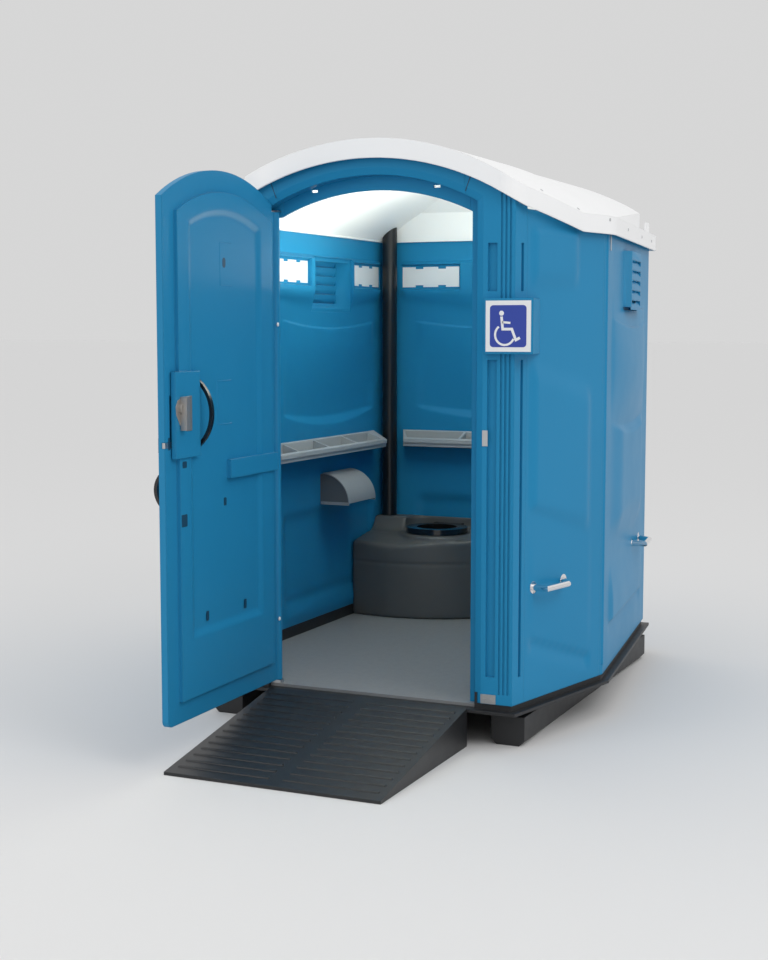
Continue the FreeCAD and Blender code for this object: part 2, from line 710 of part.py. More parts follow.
def make_base():
    """Core on the skids, the thin rim round it and the curb that the walls stand on."""
    rim_low = size.rim_top - size.rim_thick
    core = prism(inset_plan(size.core_inset), size.skid_height, rim_low)
    rim = prism(inset_plan(-size.rim_lip), rim_low, size.rim_top)
    curb_outer = prism(inset_plan(size.curb_gap), size.rim_top, size.curb_top)
    curb_inner = prism(inset_plan(size.wall_thick), size.rim_top, size.curb_top)
    doorway = block(-recess_left(), -1, size.rim_top, recess_left() + size.recess_half,
                    size.frame_depth + 1, size.curb_top - size.rim_top + 1)
    curb = cut(cut(curb_outer, curb_inner), doorway)
    node(fuse(core, rim, curb), "base_pan")


def make_floor():
    sheet_prism = prism(inset_plan(size.wall_thick), size.rim_top, size.rim_top + size.floor_thick)
    node(sheet_prism, "floor_tread")


def make_ramp():
    """A hollow wedge with two columns of cross ribs on top and a foot at each rear corner."""
    body = new_body("access_ramp")
    rear = -size.rim_lip
    toe = rear - size.ramp_length
    slope_rise = size.ramp_rear - size.ramp_toe
    side = outline(body, "YZ_Plane", (
        (toe, 0), (rear, 0), (rear, size.ramp_rear), (toe, size.ramp_toe),
    ), lift=-size.ramp_half)
    pad(body, side, size.ramp_half * 2)
    skin = size.ramp_skin
    hollow_toe = toe + size.ramp_length * (skin * 2) / slope_rise
    hollow = outline(body, "YZ_Plane", (
        (hollow_toe, 0),
        (rear - skin, 0),
        (rear - skin, size.ramp_rear - skin * 1.4),
        (hollow_toe, slope_rise * (skin * 2) / slope_rise - skin * 0.6),
    ), lift=-(size.ramp_half - skin))
    pocket(body, hollow, (size.ramp_half - skin) * 2, backwards=True)
    slope = (size.ramp_length * size.ramp_length + slope_rise * slope_rise).sqrt() / size.ramp_length
    first_back = toe + size.rib_margin
    low = size.ramp_toe + slope_rise * size.rib_margin / size.ramp_length
    step = slope_rise * size.rib_width / size.ramp_length
    for side_sign in (-1, 1):
        middle_x = size.ramp_half * 0.5 * side_sign
        rib = outline(body, "YZ_Plane", (
            (first_back, low - 1),
            (first_back + size.rib_width, low + step - 1),
            (first_back + size.rib_width * 0.8, low + step + size.rib_height),
            (first_back + size.rib_width * 0.2, low + size.rib_height),
        ), lift=middle_x - size.rib_length / 2)
        ridge = pad(body, rib, size.rib_length)
        ridges = body.newObject("PartDesign::LinearPattern", "Ribs")
        ridges.Originals = [ridge]
        way = new_sketch(body, "YZ_Plane", None)
        way.addGeometry(Part.LineSegment(FreeCAD.Vector(toe.value, size.ramp_toe.value, 0),
                                         FreeCAD.Vector(rear.value, size.ramp_rear.value, 0)), False)
        tie_point(way, 0, 1, toe, size.ramp_toe)
        tie_point(way, 0, 2, rear, size.ramp_rear)
        ridges.Direction = (way, ["Edge1"])
        bind(ridges, "Length", (size.ramp_length - size.rib_margin * 2 - size.rib_width) * slope)
        ridges.Occurrences = RAMP_RIBS
        body.Tip = ridges


# Doorway frame

def make_front_post(name, sign):
    """One front corner: doorway jamb, fluted corner with slots and the start of the side."""
    body = plain_body()
    corner = FRONT_RIGHT if sign > 0 else FRONT_LEFT
    seam = SEAM_RIGHT if sign > 0 else SEAM_LEFT
    _, way = run(corner, seam)
    normal = (-way[1] * sign, way[0] * sign)
    thick = size.wall_thick

    def side_point(distance, inward):
        x = corner[0] + way[0] * distance + normal[0] * inward
        y = corner[1] + way[1] * distance + normal[1] * inward
        return (x, y)

    def mitre_x(inward):
        """Where the line behind the front face meets the line behind the side face."""
        return corner[0] + normal[0] * inward + way[0] * ((inward - normal[1] * inward) / way[1])

    recess_edge = size.recess_half if sign > 0 else recess_left()
    opening_edge = size.opening_half if sign > 0 else size.opening_left
    deep_edge = recess_edge + size.frame_back
    flutes = []
    for number in range(3):
        middle = size.front_half - size.flute_pitch * (3 - number)
        low, high = (middle - size.flute_width / 2) * sign, (middle + size.flute_width / 2) * sign
        flutes += [(low, as_term(0)), (low, size.flute_depth), (high, size.flute_depth), (high, as_term(0))]
    rest_of_plan = [
        corner,
        side_point(size.post_wrap, 0),
        side_point(size.post_wrap, thick),
        (mitre_x(thick), thick),
        (deep_edge * sign, thick),
        (deep_edge * sign, size.frame_depth),
    ]
    jamb_plan = [
        (opening_edge * sign, size.recess_depth),
        (recess_edge * sign, size.recess_depth),
        (recess_edge * sign, as_term(0)),
    ] + flutes + rest_of_plan + [(opening_edge * sign, size.frame_depth)]
    jamb = outline(body, "XY_Plane", jamb_plan, lift=size.curb_top)
    pad(body, jamb, size.opening_spring - size.curb_top)
    head_plan = [(size.header_half * sign, as_term(0))] + flutes + rest_of_plan
    head_plan.append((size.header_half * sign, size.frame_depth))
    head = outline(body, "XY_Plane", head_plan, lift=size.opening_spring)
    pad(body, head, size.arch_apex - size.opening_spring)
    skin = size.skirt_thick
    skirt_plan = [
        (recess_edge * sign, as_term(0)),
        corner,
        side_point(size.post_wrap, 0),
        side_point(size.post_wrap, skin),
        (mitre_x(skin), skin),
        (recess_edge * sign, skin),
    ]
    skirt = outline(body, "XY_Plane", skirt_plan, lift=size.wall_skirt)
    pad(body, skirt, size.curb_top - size.wall_skirt)
    foot_plan = [
        (opening_edge * sign, size.recess_depth),
        (recess_edge * sign, size.recess_depth),
        (recess_edge * sign, thick),
        (deep_edge * sign, thick),
        (deep_edge * sign, size.frame_depth),
        (opening_edge * sign, size.frame_depth),
    ]
    floor_top = size.rim_top + size.floor_thick
    foot = outline(body, "XY_Plane", foot_plan, lift=floor_top)
    pad(body, foot, size.curb_top - floor_top)
    slot_outer = size.front_half - size.slot_from_corner
    for low, high in ((size.slot_low, size.slot_mid_low), (size.slot_mid_high, size.slot_high)):
        front_slot = rectangle(body, "XY_Plane", (slot_outer - size.slot_width) * sign, slot_outer * sign,
                               as_term(-1), size.slot_depth, lift=low)
        pocket(body, front_slot, high - low, backwards=True)
        begin, width = size.side_slot_start, size.side_slot_width
        side_slot = outline(body, "XY_Plane", (
            side_point(begin, -1), side_point(begin + width, -1),
            side_point(begin + width, size.slot_depth), side_point(begin, size.slot_depth),
        ), lift=low)
        pocket(body, side_slot, high - low, backwards=True)
    cut_doorway(body)
    trim_under_roof(body)
    if sign > 0:
        room = size.strike_room
        strike = rectangle(body, "YZ_Plane", size.pivot_back - size.bolt_half_thick - room,
                           size.pivot_back + size.bolt_half_thick + room,
                           size.bolt_level - size.bolt_half_high - room,
                           size.bolt_level + size.bolt_half_high + room, lift=recess_edge - 1)
        pocket(body, strike, size.strike_depth + 1, backwards=True)
    node(cut(body, reveal()), name)


def arch_outline(body, half_left, half_right, low, radius, apex, lift):
    """An upright outline with an arched top whose middle is the doorway's middle."""
    centre = apex - radius
    left_top = centre + (radius * radius - half_left * half_left).sqrt()
    right_top = centre + (radius * radius - half_right * half_right).sqrt()
    return outline(body, "XZ_Plane", (
        (-half_left, low), (half_right, low), (half_right, right_top), (-half_left, left_top),
    ), arcs={2: (radius, 1)}, lift=lift)


def cut_doorway(body):
    """Cuts the arches of the doorway and of the door recess."""
    spring = size.opening_spring
    low = spring - size.leaf_rise
    radius = arch_radius(size.opening_half, size.opening_rise)
    opening = arch_outline(body, size.opening_left, size.opening_half, low, radius,
                           spring + size.opening_rise, as_term(1))
    pocket(body, opening, size.frame_depth + 2)
    radius = arch_radius(size.recess_half, size.recess_rise)
    apex = size.recess_spring + size.recess_rise
    recess = arch_outline(body, recess_left(), size.recess_half, low, radius, apex, as_term(1))
    pocket(body, recess, size.recess_depth + 1)


def reveal():
    """The sloped band round the door recess, as a solid to take off the front face."""
    left_edge = recess_left()
    right_edge = size.recess_half
    radius = arch_radius(size.recess_half, size.recess_rise)
    centre = size.recess_spring + size.recess_rise - radius
    over = size.reveal_depth * 0.1
    grow = size.reveal_width * 1.1
    deep = size.reveal_depth + over
    cone = doc.addObject("Part::Cone", "ArchedReveal")
    bind(cone, "Radius1", radius + grow)
    bind(cone, "Radius2", radius)
    bind(cone, "Height", deep)
    place(cone, 0, -over, centre, (1, 0, 0), -90)
    below = block(-radius * 2, -over, 0, radius * 4, deep, centre)
    sides = prism(((-left_edge - grow, -over), (right_edge + grow, -over),
                   (right_edge, size.reveal_depth), (-left_edge, size.reveal_depth)),
                  as_term(0), centre + radius * 1.5)
    return common(fuse(cone, below), sides)


def trim_under_roof(body):
    """Takes off everything above the underside of the roof's front arch."""
    radius = size.arch_radius_high - size.roof_thick
    centre = size.arch_apex - size.arch_radius_high
    half = radius * 0.8
    side = centre + (radius * radius - half * half).sqrt()
    over = outline(body, "XZ_Plane", (
        (-half, side), (half, side), (half, size.arch_apex + 300), (-half, size.arch_apex + 300),
    ), arcs={0: (radius, -1)}, lift=size.frame_depth)
    pocket(body, over, size.frame_depth * 4)


def make_header():
    """The arched piece between the posts, with the stop that the door closes against."""
    body = plain_body()
    half = size.header_half
    radius = size.arch_radius_high - size.roof_thick
    slab = arch_outline(body, half, half, size.opening_spring, radius, size.arch_apex - size.roof_thick, None)
    pad(body, slab, size.frame_depth, backwards=True)
    cut_doorway(body)
    for sign in (-1, 1):
        middle = size.header_slot_place * sign
        slot = rectangle(body, "XZ_Plane", middle - size.header_slot / 2, middle + size.header_slot / 2,
                         size.header_slot_level - size.header_slot_high / 2,
                         size.header_slot_level + size.header_slot_high / 2, lift=-(size.recess_depth - 1))
        pocket(body, slot, size.frame_depth - size.recess_depth + 2)
    node(cut(body, reveal()), "door_header")


# Wall panels, each in its own frame: X along the wall, Y inwards, Z up from the ground

def wall_run(start, end):
    length, way = run(start, end)
    return start, way, length


def stand_on_wall(obj, wall):
    """Moves an object made in the frame of a wall to its place."""
    start, way, length = wall
    obj.Placement = FreeCAD.Placement(FreeCAD.Vector(), FreeCAD.Rotation(FreeCAD.Vector(0, 0, 1), 1))
    obj.setExpression("Placement.Rotation.Angle", "atan2(%s; %s)" % (way[1].formula, way[0].formula))
    obj.setExpression("Placement.Base.x", start[0].formula)
    obj.setExpression("Placement.Base.y", start[1].formula)
    return obj


def wall_slab(body, low_x, high_x):
    """The flat part of a panel, and the thin skin that hangs outside the curb."""
    slab = rectangle(body, "XZ_Plane", low_x, high_x, size.curb_top, size.wall_top)
    pad(body, slab, size.wall_thick, backwards=True)
    skin = rectangle(body, "XZ_Plane", low_x, high_x, size.wall_skirt, size.curb_top)
    pad(body, skin, size.skirt_thick, backwards=True)


def make_flat_panel(name, wall, low_x, high_x, rise):
    """A front side panel: a shallow sloping field and a groove near the bottom.

    rise is 1 when the wall's near end is its higher end and -1 when it is the lower one.
    """
    body = new_body(name)
    wall_slab(body, low_x, high_x)
    left = low_x + size.field_margin
    right = high_x - size.field_margin
    fall_left = size.field_drop if rise < 0 else as_term(0)
    fall_right = size.field_drop if rise > 0 else as_term(0)
    for low, high, depth in (
        (size.field_low, size.field_high, size.field_depth),
        (size.groove_level, size.groove_level + size.groove_width, size.groove_depth),
    ):
        field = outline(body, "XZ_Plane", (
            (left, low - fall_left), (right, low - fall_right),
            (right, high - fall_right), (left, high - fall_left),
        ), lift=as_term(1))
        pocket(body, field, depth + 1)
    stand_on_wall(body, wall)


def make_bulged_panel(name, wall, low_x, high_x, margin, vent=None):
    """A panel with a bulge that is hollow inside, a flat field below it and a groove."""
    body = new_body(name)
    wall_slab(body, low_x, high_x)
    left = low_x + margin
    right = high_x - margin
    width = right - left
    rise = size.bulge_rise
    radius = arch_radius(width / 2, rise)
    low, high, sag = size.bulge_low, size.bulge_high, size.bulge_sag
    bulge = outline(body, "XY_Plane", ((left, 0), (right, 0)), arcs={0: (radius, 1)}, lift=low - sag)
    pad(body, bulge, high - low + sag)
    sweep = arch_radius(width / 2, sag)
    top_side = outline(body, "XZ_Plane", (
        (left - 1, high + 2), (left - 1, high), (right + 1, high), (right + 1, high + 2),
    ), arcs={1: (sweep, 1)}, lift=rise + 2)
    pocket(body, top_side, rise + 2)
    bottom_side = outline(body, "XZ_Plane", (
        (left - 1, low), (left - 1, low - sag - 2), (right + 1, low - sag - 2), (right + 1, low),
    ), arcs={3: (sweep, -1)}, lift=rise + 2)
    pocket(body, bottom_side, rise + 2)
    shell = size.bulge_shell
    hollow = outline(body, "XY_Plane", (
        (right - shell * 3, size.wall_thick + 1), (left + shell * 3, size.wall_thick + 1),
        (left + shell * 3, shell), (right - shell * 3, shell),
    ), arcs={2: (radius, 1)}, lift=low + shell)
    pocket(body, hollow, high - low - sag - shell * 2, backwards=True)
    plateau = outline(body, "YZ_Plane", (
        (as_term(0), size.plateau_foot), (as_term(0), low - sag / 2),
        (-size.plateau_rise, low - sag / 2), (-size.plateau_rise, size.plateau_low),
    ), lift=left)
    pad(body, plateau, width)
    groove = outline(body, "XZ_Plane", (
        (left, size.groove_level - size.groove_width), (right, size.groove_level - size.groove_width),
        (right, size.groove_level), (left, size.groove_level),
    ), lift=as_term(1))
    pocket(body, groove, size.groove_depth + 1)
    if vent is not None:
        cut_vent(body, vent)
    stand_on_wall(body, wall)


def cut_vent(body, middle):
    """A box that stands out of the wall, hollow inside, with slots that rise inwards through its face."""
    half = size.vent_width / 2
    slant = size.vent_slant
    low = size.vent_low - size.vent_bar
    high = size.vent_low + size.vent_pitch * (VENT_SLOTS - 1) + size.vent_slot + size.vent_rise + size.vent_bar
    box = outline(body, "XY_Plane", (
        (middle - half - slant, 0), (middle - half, -size.vent_depth),
        (middle + half, -size.vent_depth), (middle + half + slant, 0),
    ), lift=low)
    pad(body, box, high - low)
    face = -size.vent_depth + size.vent_skin
    inner = size.wall_thick + 1
    hollow = outline(body, "XY_Plane", (
        (middle - half, face), (middle + half, face), (middle + half + slant, inner), (middle - half - slant, inner),
    ), lift=low + size.vent_skin)
    pocket(body, hollow, high - low - size.vent_skin * 2, backwards=True)
    front = -size.vent_depth - 1
    slot = outline(body, "YZ_Plane", (
        (front, size.vent_low), (face + 1, size.vent_low + size.vent_rise),
        (face + 1, size.vent_low + size.vent_rise + size.vent_slot), (front, size.vent_low + size.vent_slot),
    ), lift=middle - half + size.vent_bar)
    first = pocket(body, slot, (half - size.vent_bar) * 2, backwards=True)
    row_of(body, first, slot, "V_Axis", VENT_SLOTS, size.vent_pitch * (VENT_SLOTS - 1))


def make_corner(name, before, corner, after, arm, valley):
    """A post where two wall panels meet, with a valley down its outer side where valley is given."""
    _, first = run(before, corner)
    _, second = run(corner, after)
    thick = size.wall_thick

    def plan(depth):
        inner = inset_corner(before, corner, after, depth)
        points = [on_way(corner, first, -arm)]
        if valley is None:
            points.append(corner)
        else:
            points += [on_way(corner, first, -arm / 2), inset_corner(before, corner, after, valley),
                       on_way(corner, second, arm / 2)]
        points += [on_way(corner, second, arm), on_way(corner, second, arm, depth), inner,
                   on_way(corner, first, -arm, depth)]
        return points

    post = prism(plan(thick), size.curb_top, size.wall_top)
    skin_plan = plan(size.skirt_thick)
    if valley is not None:
        skin_plan = [on_way(corner, first, -arm), corner, on_way(corner, second, arm),
                     on_way(corner, second, arm, size.skirt_thick),
                     inset_corner(before, corner, after, size.skirt_thick),
                     on_way(corner, first, -arm, size.skirt_thick)]
    skin = prism(skin_plan, size.wall_skirt, size.curb_top)
    node(fuse(post, skin), name)


# Roof

def upright_arch(centre_x, half, radius, apex, low, front, back):
    """A solid with an arched top that runs from front to back."""
    side = apex - radius + (radius * radius - half * half).sqrt()
    corners = ((centre_x - half, low), (centre_x + half, low), (centre_x + half, side), (centre_x - half, side))
    extrusion = doc.addObject("Part::Extrusion", "Vault")
    extrusion.Base = outline(None, "XZ_Plane", corners, {2: (radius, 1)}, back)
    extrusion.DirMode = "Normal"
    extrusion.Solid = True
    bind(extrusion, "LengthFwd", as_term(back) - front)
    return extrusion


def roof_solid(thinner, low):
    """The roof's full form, made smaller all round by a thickness."""
    out = size.fascia_out - thinner
    reach = size.arch_radius_high * 0.85
    front = upright_arch(as_term(0), reach, size.arch_radius_high - thinner, size.arch_apex - thinner,
                         low, -size.fascia_out * 1.5, size.seam_back - thinner)
    wide = size.seam_left * 2
    flat = block(-wide, -size.seam_back, low, wide * 2, size.cabin_depth + size.seam_back * 2,
                 size.roof_flat - thinner - low)
    inset = size.dome_inset + thinner
    vault = upright_arch(-size.dome_shift, size.dome_radius * 0.85, size.dome_radius - thinner,
                         size.dome_top - thinner, low, size.dome_front + thinner, size.cabin_depth)
    tail = size.dome_tail - thinner
    end = size.cabin_depth - inset
    fall = tail - (tail * tail - (end - size.dome_bend) * (end - size.dome_bend)).sqrt()
    top = size.dome_top - thinner
    profile = prism((
        (size.dome_front + thinner, low), (end, low), (end, top - fall), (size.dome_bend, top),
        (size.dome_front + thinner, top),
    ), -wide, wide, {2: (tail, 1)}, "YZ_Plane")
    high = top + size.roof_thick * 8
    dome = common(prism(inset_plan(inset), low, high), vault, profile)
    corners, arcs = rounded_plan(-out)
    return common(prism(corners, low, high, arcs), fuse(front, flat, dome))


def make_roof():
    outer = roof_solid(as_term(0), size.fascia_skirt)
    below = size.fascia_skirt - size.fascia_out
    inner = roof_solid(size.roof_thick, below)
    under = upright_arch(as_term(0), size.arch_radius_low * 0.8, size.arch_radius_low, size.fascia_apex,
                         below, -size.fascia_out * 2, size.seam_back)
    hole = rod(pipe_x(), pipe_y(), size.fascia_skirt, size.pipe_radius + size.pipe_room, size.pipe_top)
    shell = cut(cut(cut(outer, inner), under), hole)
    fins = []
    for corner, side in ((REAR_RIGHT, 1), (REAR_LEFT, -1)):
        fin_x = corner[0] - (size.fin_width if side > 0 else as_term(0))
        fins.append(block(fin_x, corner[1] - size.fin_long, size.roof_flat, size.fin_width, size.fin_long,
                          size.fin_height))
    node(fuse(shell, *fins), "roof_shell")


# Fittings inside the cabin

def pipe_x():
    return -(size.seam_left - size.wall_thick - size.pipe_gap - size.pipe_radius)


def pipe_y():
    return size.cabin_depth - size.wall_thick - size.pipe_gap - size.pipe_radius


def make_pipe():
    """The vent pipe from the tank up through the roof, and a rain cap whose vanes stand in its mouth."""
    x, y = pipe_x(), pipe_y()
    length = size.pipe_top - size.ledge_top
    tube = cut(rod(x, y, size.ledge_top, size.pipe_radius, length),
               rod(x, y, size.ledge_top - 1, size.pipe_radius - size.pipe_wall, length + 2))
    node(tube, "vent_pipe")
    pieces = [many_sided(x, y, size.pipe_top + size.cap_height, DISC_SIDES, size.cap_radius, size.cap_thick)]
    half = size.cap_thick / 2
    tongue = size.pipe_radius - size.pipe_wall - 1
    for reach, low in ((size.pipe_radius, size.pipe_top), (tongue, size.pipe_top - size.cap_height / 2)):
        high = size.cap_height + size.pipe_top - low
        pieces.append(block(x - reach, y - half, low, reach * 2, size.cap_thick, high))
        pieces.append(block(x - half, y - reach, low, size.cap_thick, reach * 2, high))
    node(fuse(*pieces), "vent_cap")


def make_tank():
    """The waste tank: a D-shaped tub with a hollow rear step, a deck for the seat and a niche behind it."""
    floor_top = size.rim_top + size.floor_thick
    left = -(size.seam_left - size.wall_thick)
    back = size.cabin_depth - size.wall_thick
    radius = size.tank_radius
    drop = size.tank_front + radius - back
    right = -size.tank_corner + (radius * radius - drop * drop).sqrt()
    tub = prism(((left, back), (left, size.tank_front + size.tank_slope), (-size.tank_corner, size.tank_front),
                 (right, back)), floor_top, size.ledge_top, {2: (radius, 1)})
    side = prism((
        (size.tank_front, floor_top - 1), (back + 1, floor_top - 1), (back + 1, size.ledge_top),
        (size.tank_step_back, size.ledge_top), (size.tank_step_front, size.tank_step_low),
        (size.tank_front + size.tank_lip_back, size.tank_lip_high), (size.tank_front, size.tank_lip_low),
    ), left - 1, right + 1, {3: (size.tank_step_round, -1), 5: (size.tank_lip_back * 1.4, 1)}, "YZ_Plane")
    form = common(tub, side)
    middle = -size.seat_left
    half_x = size.seat_half_width + size.deck_margin
    half_y = size.seat_half_length + size.deck_margin
    corners, arcs = stadium(middle, size.seat_back, half_x, half_y)
    deck = prism(corners, size.deck_foot, size.deck_top, arcs)
    wide = half_x + size.deck_room
    niche_back = seat_hinge_y() + size.seat_thick / 2 + size.niche_room
    bend = size.niche_round
    niche = prism((
        (middle - wide, size.seat_back - half_y), (middle + wide, size.seat_back - half_y),
        (middle + wide, niche_back - bend), (middle + wide - bend, niche_back),
        (middle - wide + bend, niche_back), (middle - wide, niche_back - bend),
    ), size.deck_top, size.ledge_top + 1, {2: (bend, 1), 4: (bend, 1)})
    bowl = rod(middle, size.seat_back, size.bowl_floor, size.bowl_radius, size.deck_top + 1 - size.bowl_floor)
    node(cut(fuse(cut(form, niche), deck), bowl), "waste_tank")


def seat_hinge_y():
    return size.seat_back + size.seat_half_length + size.seat_arm


def stadium(middle_x, middle_y, half_x, half_y):
    """A long round outline, two straight sides joined by nearly half round ends: corners and arcs."""
    bend = half_y * 1.004
    flat = half_x - bend + (bend * bend - half_y * half_y).sqrt()
    corners = ((middle_x - flat, middle_y - half_y), (middle_x + flat, middle_y - half_y),
               (middle_x + flat, middle_y + half_y), (middle_x - flat, middle_y + half_y))
    return corners, {1: (bend, 1), 3: (bend, 1)}


def make_seat():
    """The seat ring with its hinge arm, and the bracket with the pin that it turns on."""
    base = size.deck_top
    level = base + size.seat_lift
    middle = -size.seat_left
    thick = size.seat_thick
    corners, arcs = stadium(middle, size.seat_back, size.seat_half_width, size.seat_half_length)
    ring = prism(corners, level, level + thick, arcs)
    arm_half = size.seat_arm_half
    hinge = seat_hinge_y()
    hinge_z = level + thick / 2
    inside = size.seat_back + size.bowl_radius
    neck = hinge - thick * 0.6
    arm = prism((
        (middle - arm_half * 1.2, inside), (middle + arm_half * 1.2, inside), (middle + arm_half, neck),
        (middle + arm_half, hinge + size.arm_end), (middle - arm_half, hinge + size.arm_end),
        (middle - arm_half, neck),
    ), level, level + thick)
    hole = rod(middle, size.seat_back, level - 1, size.bowl_radius - 6, thick + 2)
    pin_length = (arm_half + size.arm_gap + size.seat_lug) * 2
    pin_start = middle - pin_length / 2
    pin_hole = rod(pin_start - 1, hinge, hinge_z, size.seat_pin + size.pin_gap, pin_length + 2, "x")
    node(cut(cut(fuse(ring, arm), hole), pin_hole), "seat_ring")
    node(rod(pin_start, hinge, hinge_z, size.seat_pin, pin_length, "x"), "seat_pin")
    front = hinge - thick / 2
    rail = hinge + thick / 2 + size.seat_rail
    bracket = [block(pin_start, rail, base, pin_length, size.seat_rail, size.seat_rail_high)]
    for start in (pin_start, pin_start + pin_length - size.seat_lug):
        bracket.append(block(start, front, base, size.seat_lug, rail + size.seat_rail - front,
                             size.seat_lift + thick))
    node(cut(fuse(*bracket), rod(pin_start, hinge, hinge_z, size.seat_pin, pin_length, "x")), "seat_bracket")


def make_shelf(length, near_mitre, far_mitre, bay, first_back):
    """A tray shelf along X with its back at Y = 0: a stepped lip, mitred ends and four bays.

    Three bays have the length bay. The first takes what is left, and its back starts at first_back.
    """
    body = plain_body()
    depth, wall, rim = size.shelf_depth, size.shelf_wall, size.shelf_rim
    low = size.shelf_top - size.shelf_height - size.shelf_fall
    lip_top = size.shelf_top - size.shelf_fall
    section = outline(body, "YZ_Plane", (
        (as_term(0), low), (as_term(0), size.shelf_top), (-depth, lip_top), (-depth, lip_top - size.shelf_lip / 2),
        (size.shelf_step - depth, lip_top - size.shelf_lip / 2), (size.shelf_step - depth, lip_top - size.shelf_lip),
        (-depth / 2, low),
    ))
    pad(body, section, length)
    for mitre, end, way in ((near_mitre, as_term(0), 1), (far_mitre, length, -1)):
        if mitre is not None:
            corner = outline(body, "XY_Plane", (
                (end + mitre * 1.1 * way, -depth * 1.1), (end - mitre * 0.1 * way, depth * 0.1),
                (end - mitre * way, -depth * 1.1),
            ), lift=low - 1)
            pocket(body, corner, size.shelf_top + 2 - low, backwards=True)
    front, back = -depth + wall + size.shelf_step * 1.5, -rim
    floor = low + wall * 2
    end = length - rim if far_mitre is None else length - far_mitre - rim
    start = end - bay * 3
    begin = rim if near_mitre is None else near_mitre + rim
    first = outline(body, "XY_Plane", (
        (begin, front), (start - rim, front), (start - rim, back), (first_back, back),
    ), lift=floor)
    pocket(body, first, size.shelf_top + 1 - floor, backwards=True)
    other = rectangle(body, "XY_Plane", start, start + bay - rim, front, back, lift=floor)
    row_of(body, pocket(body, other, size.shelf_top + 1 - floor, backwards=True), other, "H_Axis", 3, bay * 2)
    return body


def make_shelves():
    """The left shelf, cut along the slanted front wall, and the rear shelf."""
    inner = inset_plan(size.wall_thick)
    seam = inner[5]
    left = make_shelf(size.shelf_length, None, size.shelf_mitre, size.shelf_bay, seam[1] - size.shelf_start)
    place(left, seam[0], size.shelf_start, 0, (0, 0, 1), 90)
    node(common(left, prism(inner, size.wall_skirt, size.wall_top)), "shelf_left")
    rear = make_shelf(size.shelf_rear_length, size.shelf_rear_mitre, None, size.shelf_rear_bay, size.shelf_rim)
    node(place(rear, -size.shelf_rear_start, inner[4][1], 0), "shelf_rear")


def make_dispenser():
    """Paper holder on the left wall: back plate, cheeks, spindle, two rolls and a turning cover."""
    wall_x = -(size.seam_left - size.wall_thick)
    start = size.paper_start
    pin_x = wall_x + size.paper_pin_out
    level = size.paper_low
    radius = size.paper_radius - size.paper_shell
    cheek_radius = radius - 3
    cheek = size.paper_cheek
    length = size.paper_length
    roll_x = pin_x + size.roll_out
    roll_z = level + size.roll_up
    pieces = [block(wall_x, start, level, size.paper_shell, length, cheek_radius)]
    for near in (start, start + length - cheek):
        quarter = common(rod(pin_x, near, level, cheek_radius, cheek, "y"),
                         block(wall_x, near, level, cheek_radius * 2, cheek, cheek_radius * 2))
        pieces.append(quarter)
    holder = cut(fuse(*pieces), rod(pin_x, start - 1, level, size.cover_pin, length + 2, "y"))
    node(holder, "paper_holder")
    node(rod(roll_x, start + cheek, roll_z, size.spindle_radius, length - cheek * 2, "y"), "paper_spindle")
    room = (length - cheek * 2 - 9) / 2
    for number, near in enumerate((start + cheek + 3, start + cheek + 6 + room), start=1):
        roll = cut(rod(roll_x, near, roll_z, size.roll_radius, room, "y"),
                   rod(roll_x, near - 1, roll_z, size.spindle_radius + size.pin_gap, room + 2, "y"))
        node(roll, "paper_roll_%d" % number)
    pin = rod(pin_x, start - 1 - size.cover_arm, level, size.cover_pin, length + 2 + size.cover_arm * 2, "y")
    node(pin, "cover_pin")
    shell_start = start - 1 - size.cover_arm
    shell_length = length + 2 + size.cover_arm * 2
    ring = cut(rod(pin_x, shell_start, level, size.paper_radius, shell_length, "y"),
               rod(pin_x, shell_start - 1, level, radius, shell_length + 2, "y"))
    window = block(pin_x + size.paper_shell * 2, shell_start - 1, level + 2, size.paper_radius * 2,
                   shell_length + 2, size.paper_radius * 2)
    pieces = [common(ring, window)]
    for near in (shell_start, start + length + 1):
        behind = size.cover_pin * 1.4
        arm = block(pin_x - behind, near, level - size.cover_pin * 1.75, size.paper_radius - 1 + behind,
                    size.cover_arm, size.cover_pin * 3.5)
        pieces.append(arm)
    cover = cut(fuse(*pieces), rod(pin_x, shell_start - 1, level, size.cover_pin + size.pin_gap,
                                   shell_length + 2, "y"))
    node(cover, "paper_cover")


def notice_outline(start):
    """The outline of a notice plate along a wall, with two notches in its top and two in its bottom."""
    low = size.notice_level - size.notice_height / 2
    high = size.notice_level + size.notice_height / 2
    half = size.notch_width / 2
    lower = []
    upper = []
    for share in (0.3, 0.7):
        middle = start + size.notice_length * share
        for across, depth in ((-half, 0), (-half, size.notch_depth), (half, size.notch_depth), (half, 0)):
            lower.append((middle + across, low + depth))
            upper.insert(0, (middle + across, high - depth))
    ends = [(start + size.notice_length, low), (start + size.notice_length, high)]
    return [(start, low)] + lower + ends + upper + [(start, high)]


def make_notices():
    """Notice plates on the left and rear walls inside."""
    wall_x = -(size.seam_left - size.wall_thick)
    plates = []
    for start in (size.notice_near, size.notice_far):
        plates.append(prism(notice_outline(start), wall_x, wall_x + size.plate_thick, plane="YZ_Plane"))
    node(group(*plates), "notice_plates_left")
    back = size.cabin_depth - size.wall_thick
    node(prism(notice_outline(-size.notice_rear), back, back + size.plate_thick, plane="XZ_Plane"),
         "notice_plate_rear")


# Fittings outside the cabin

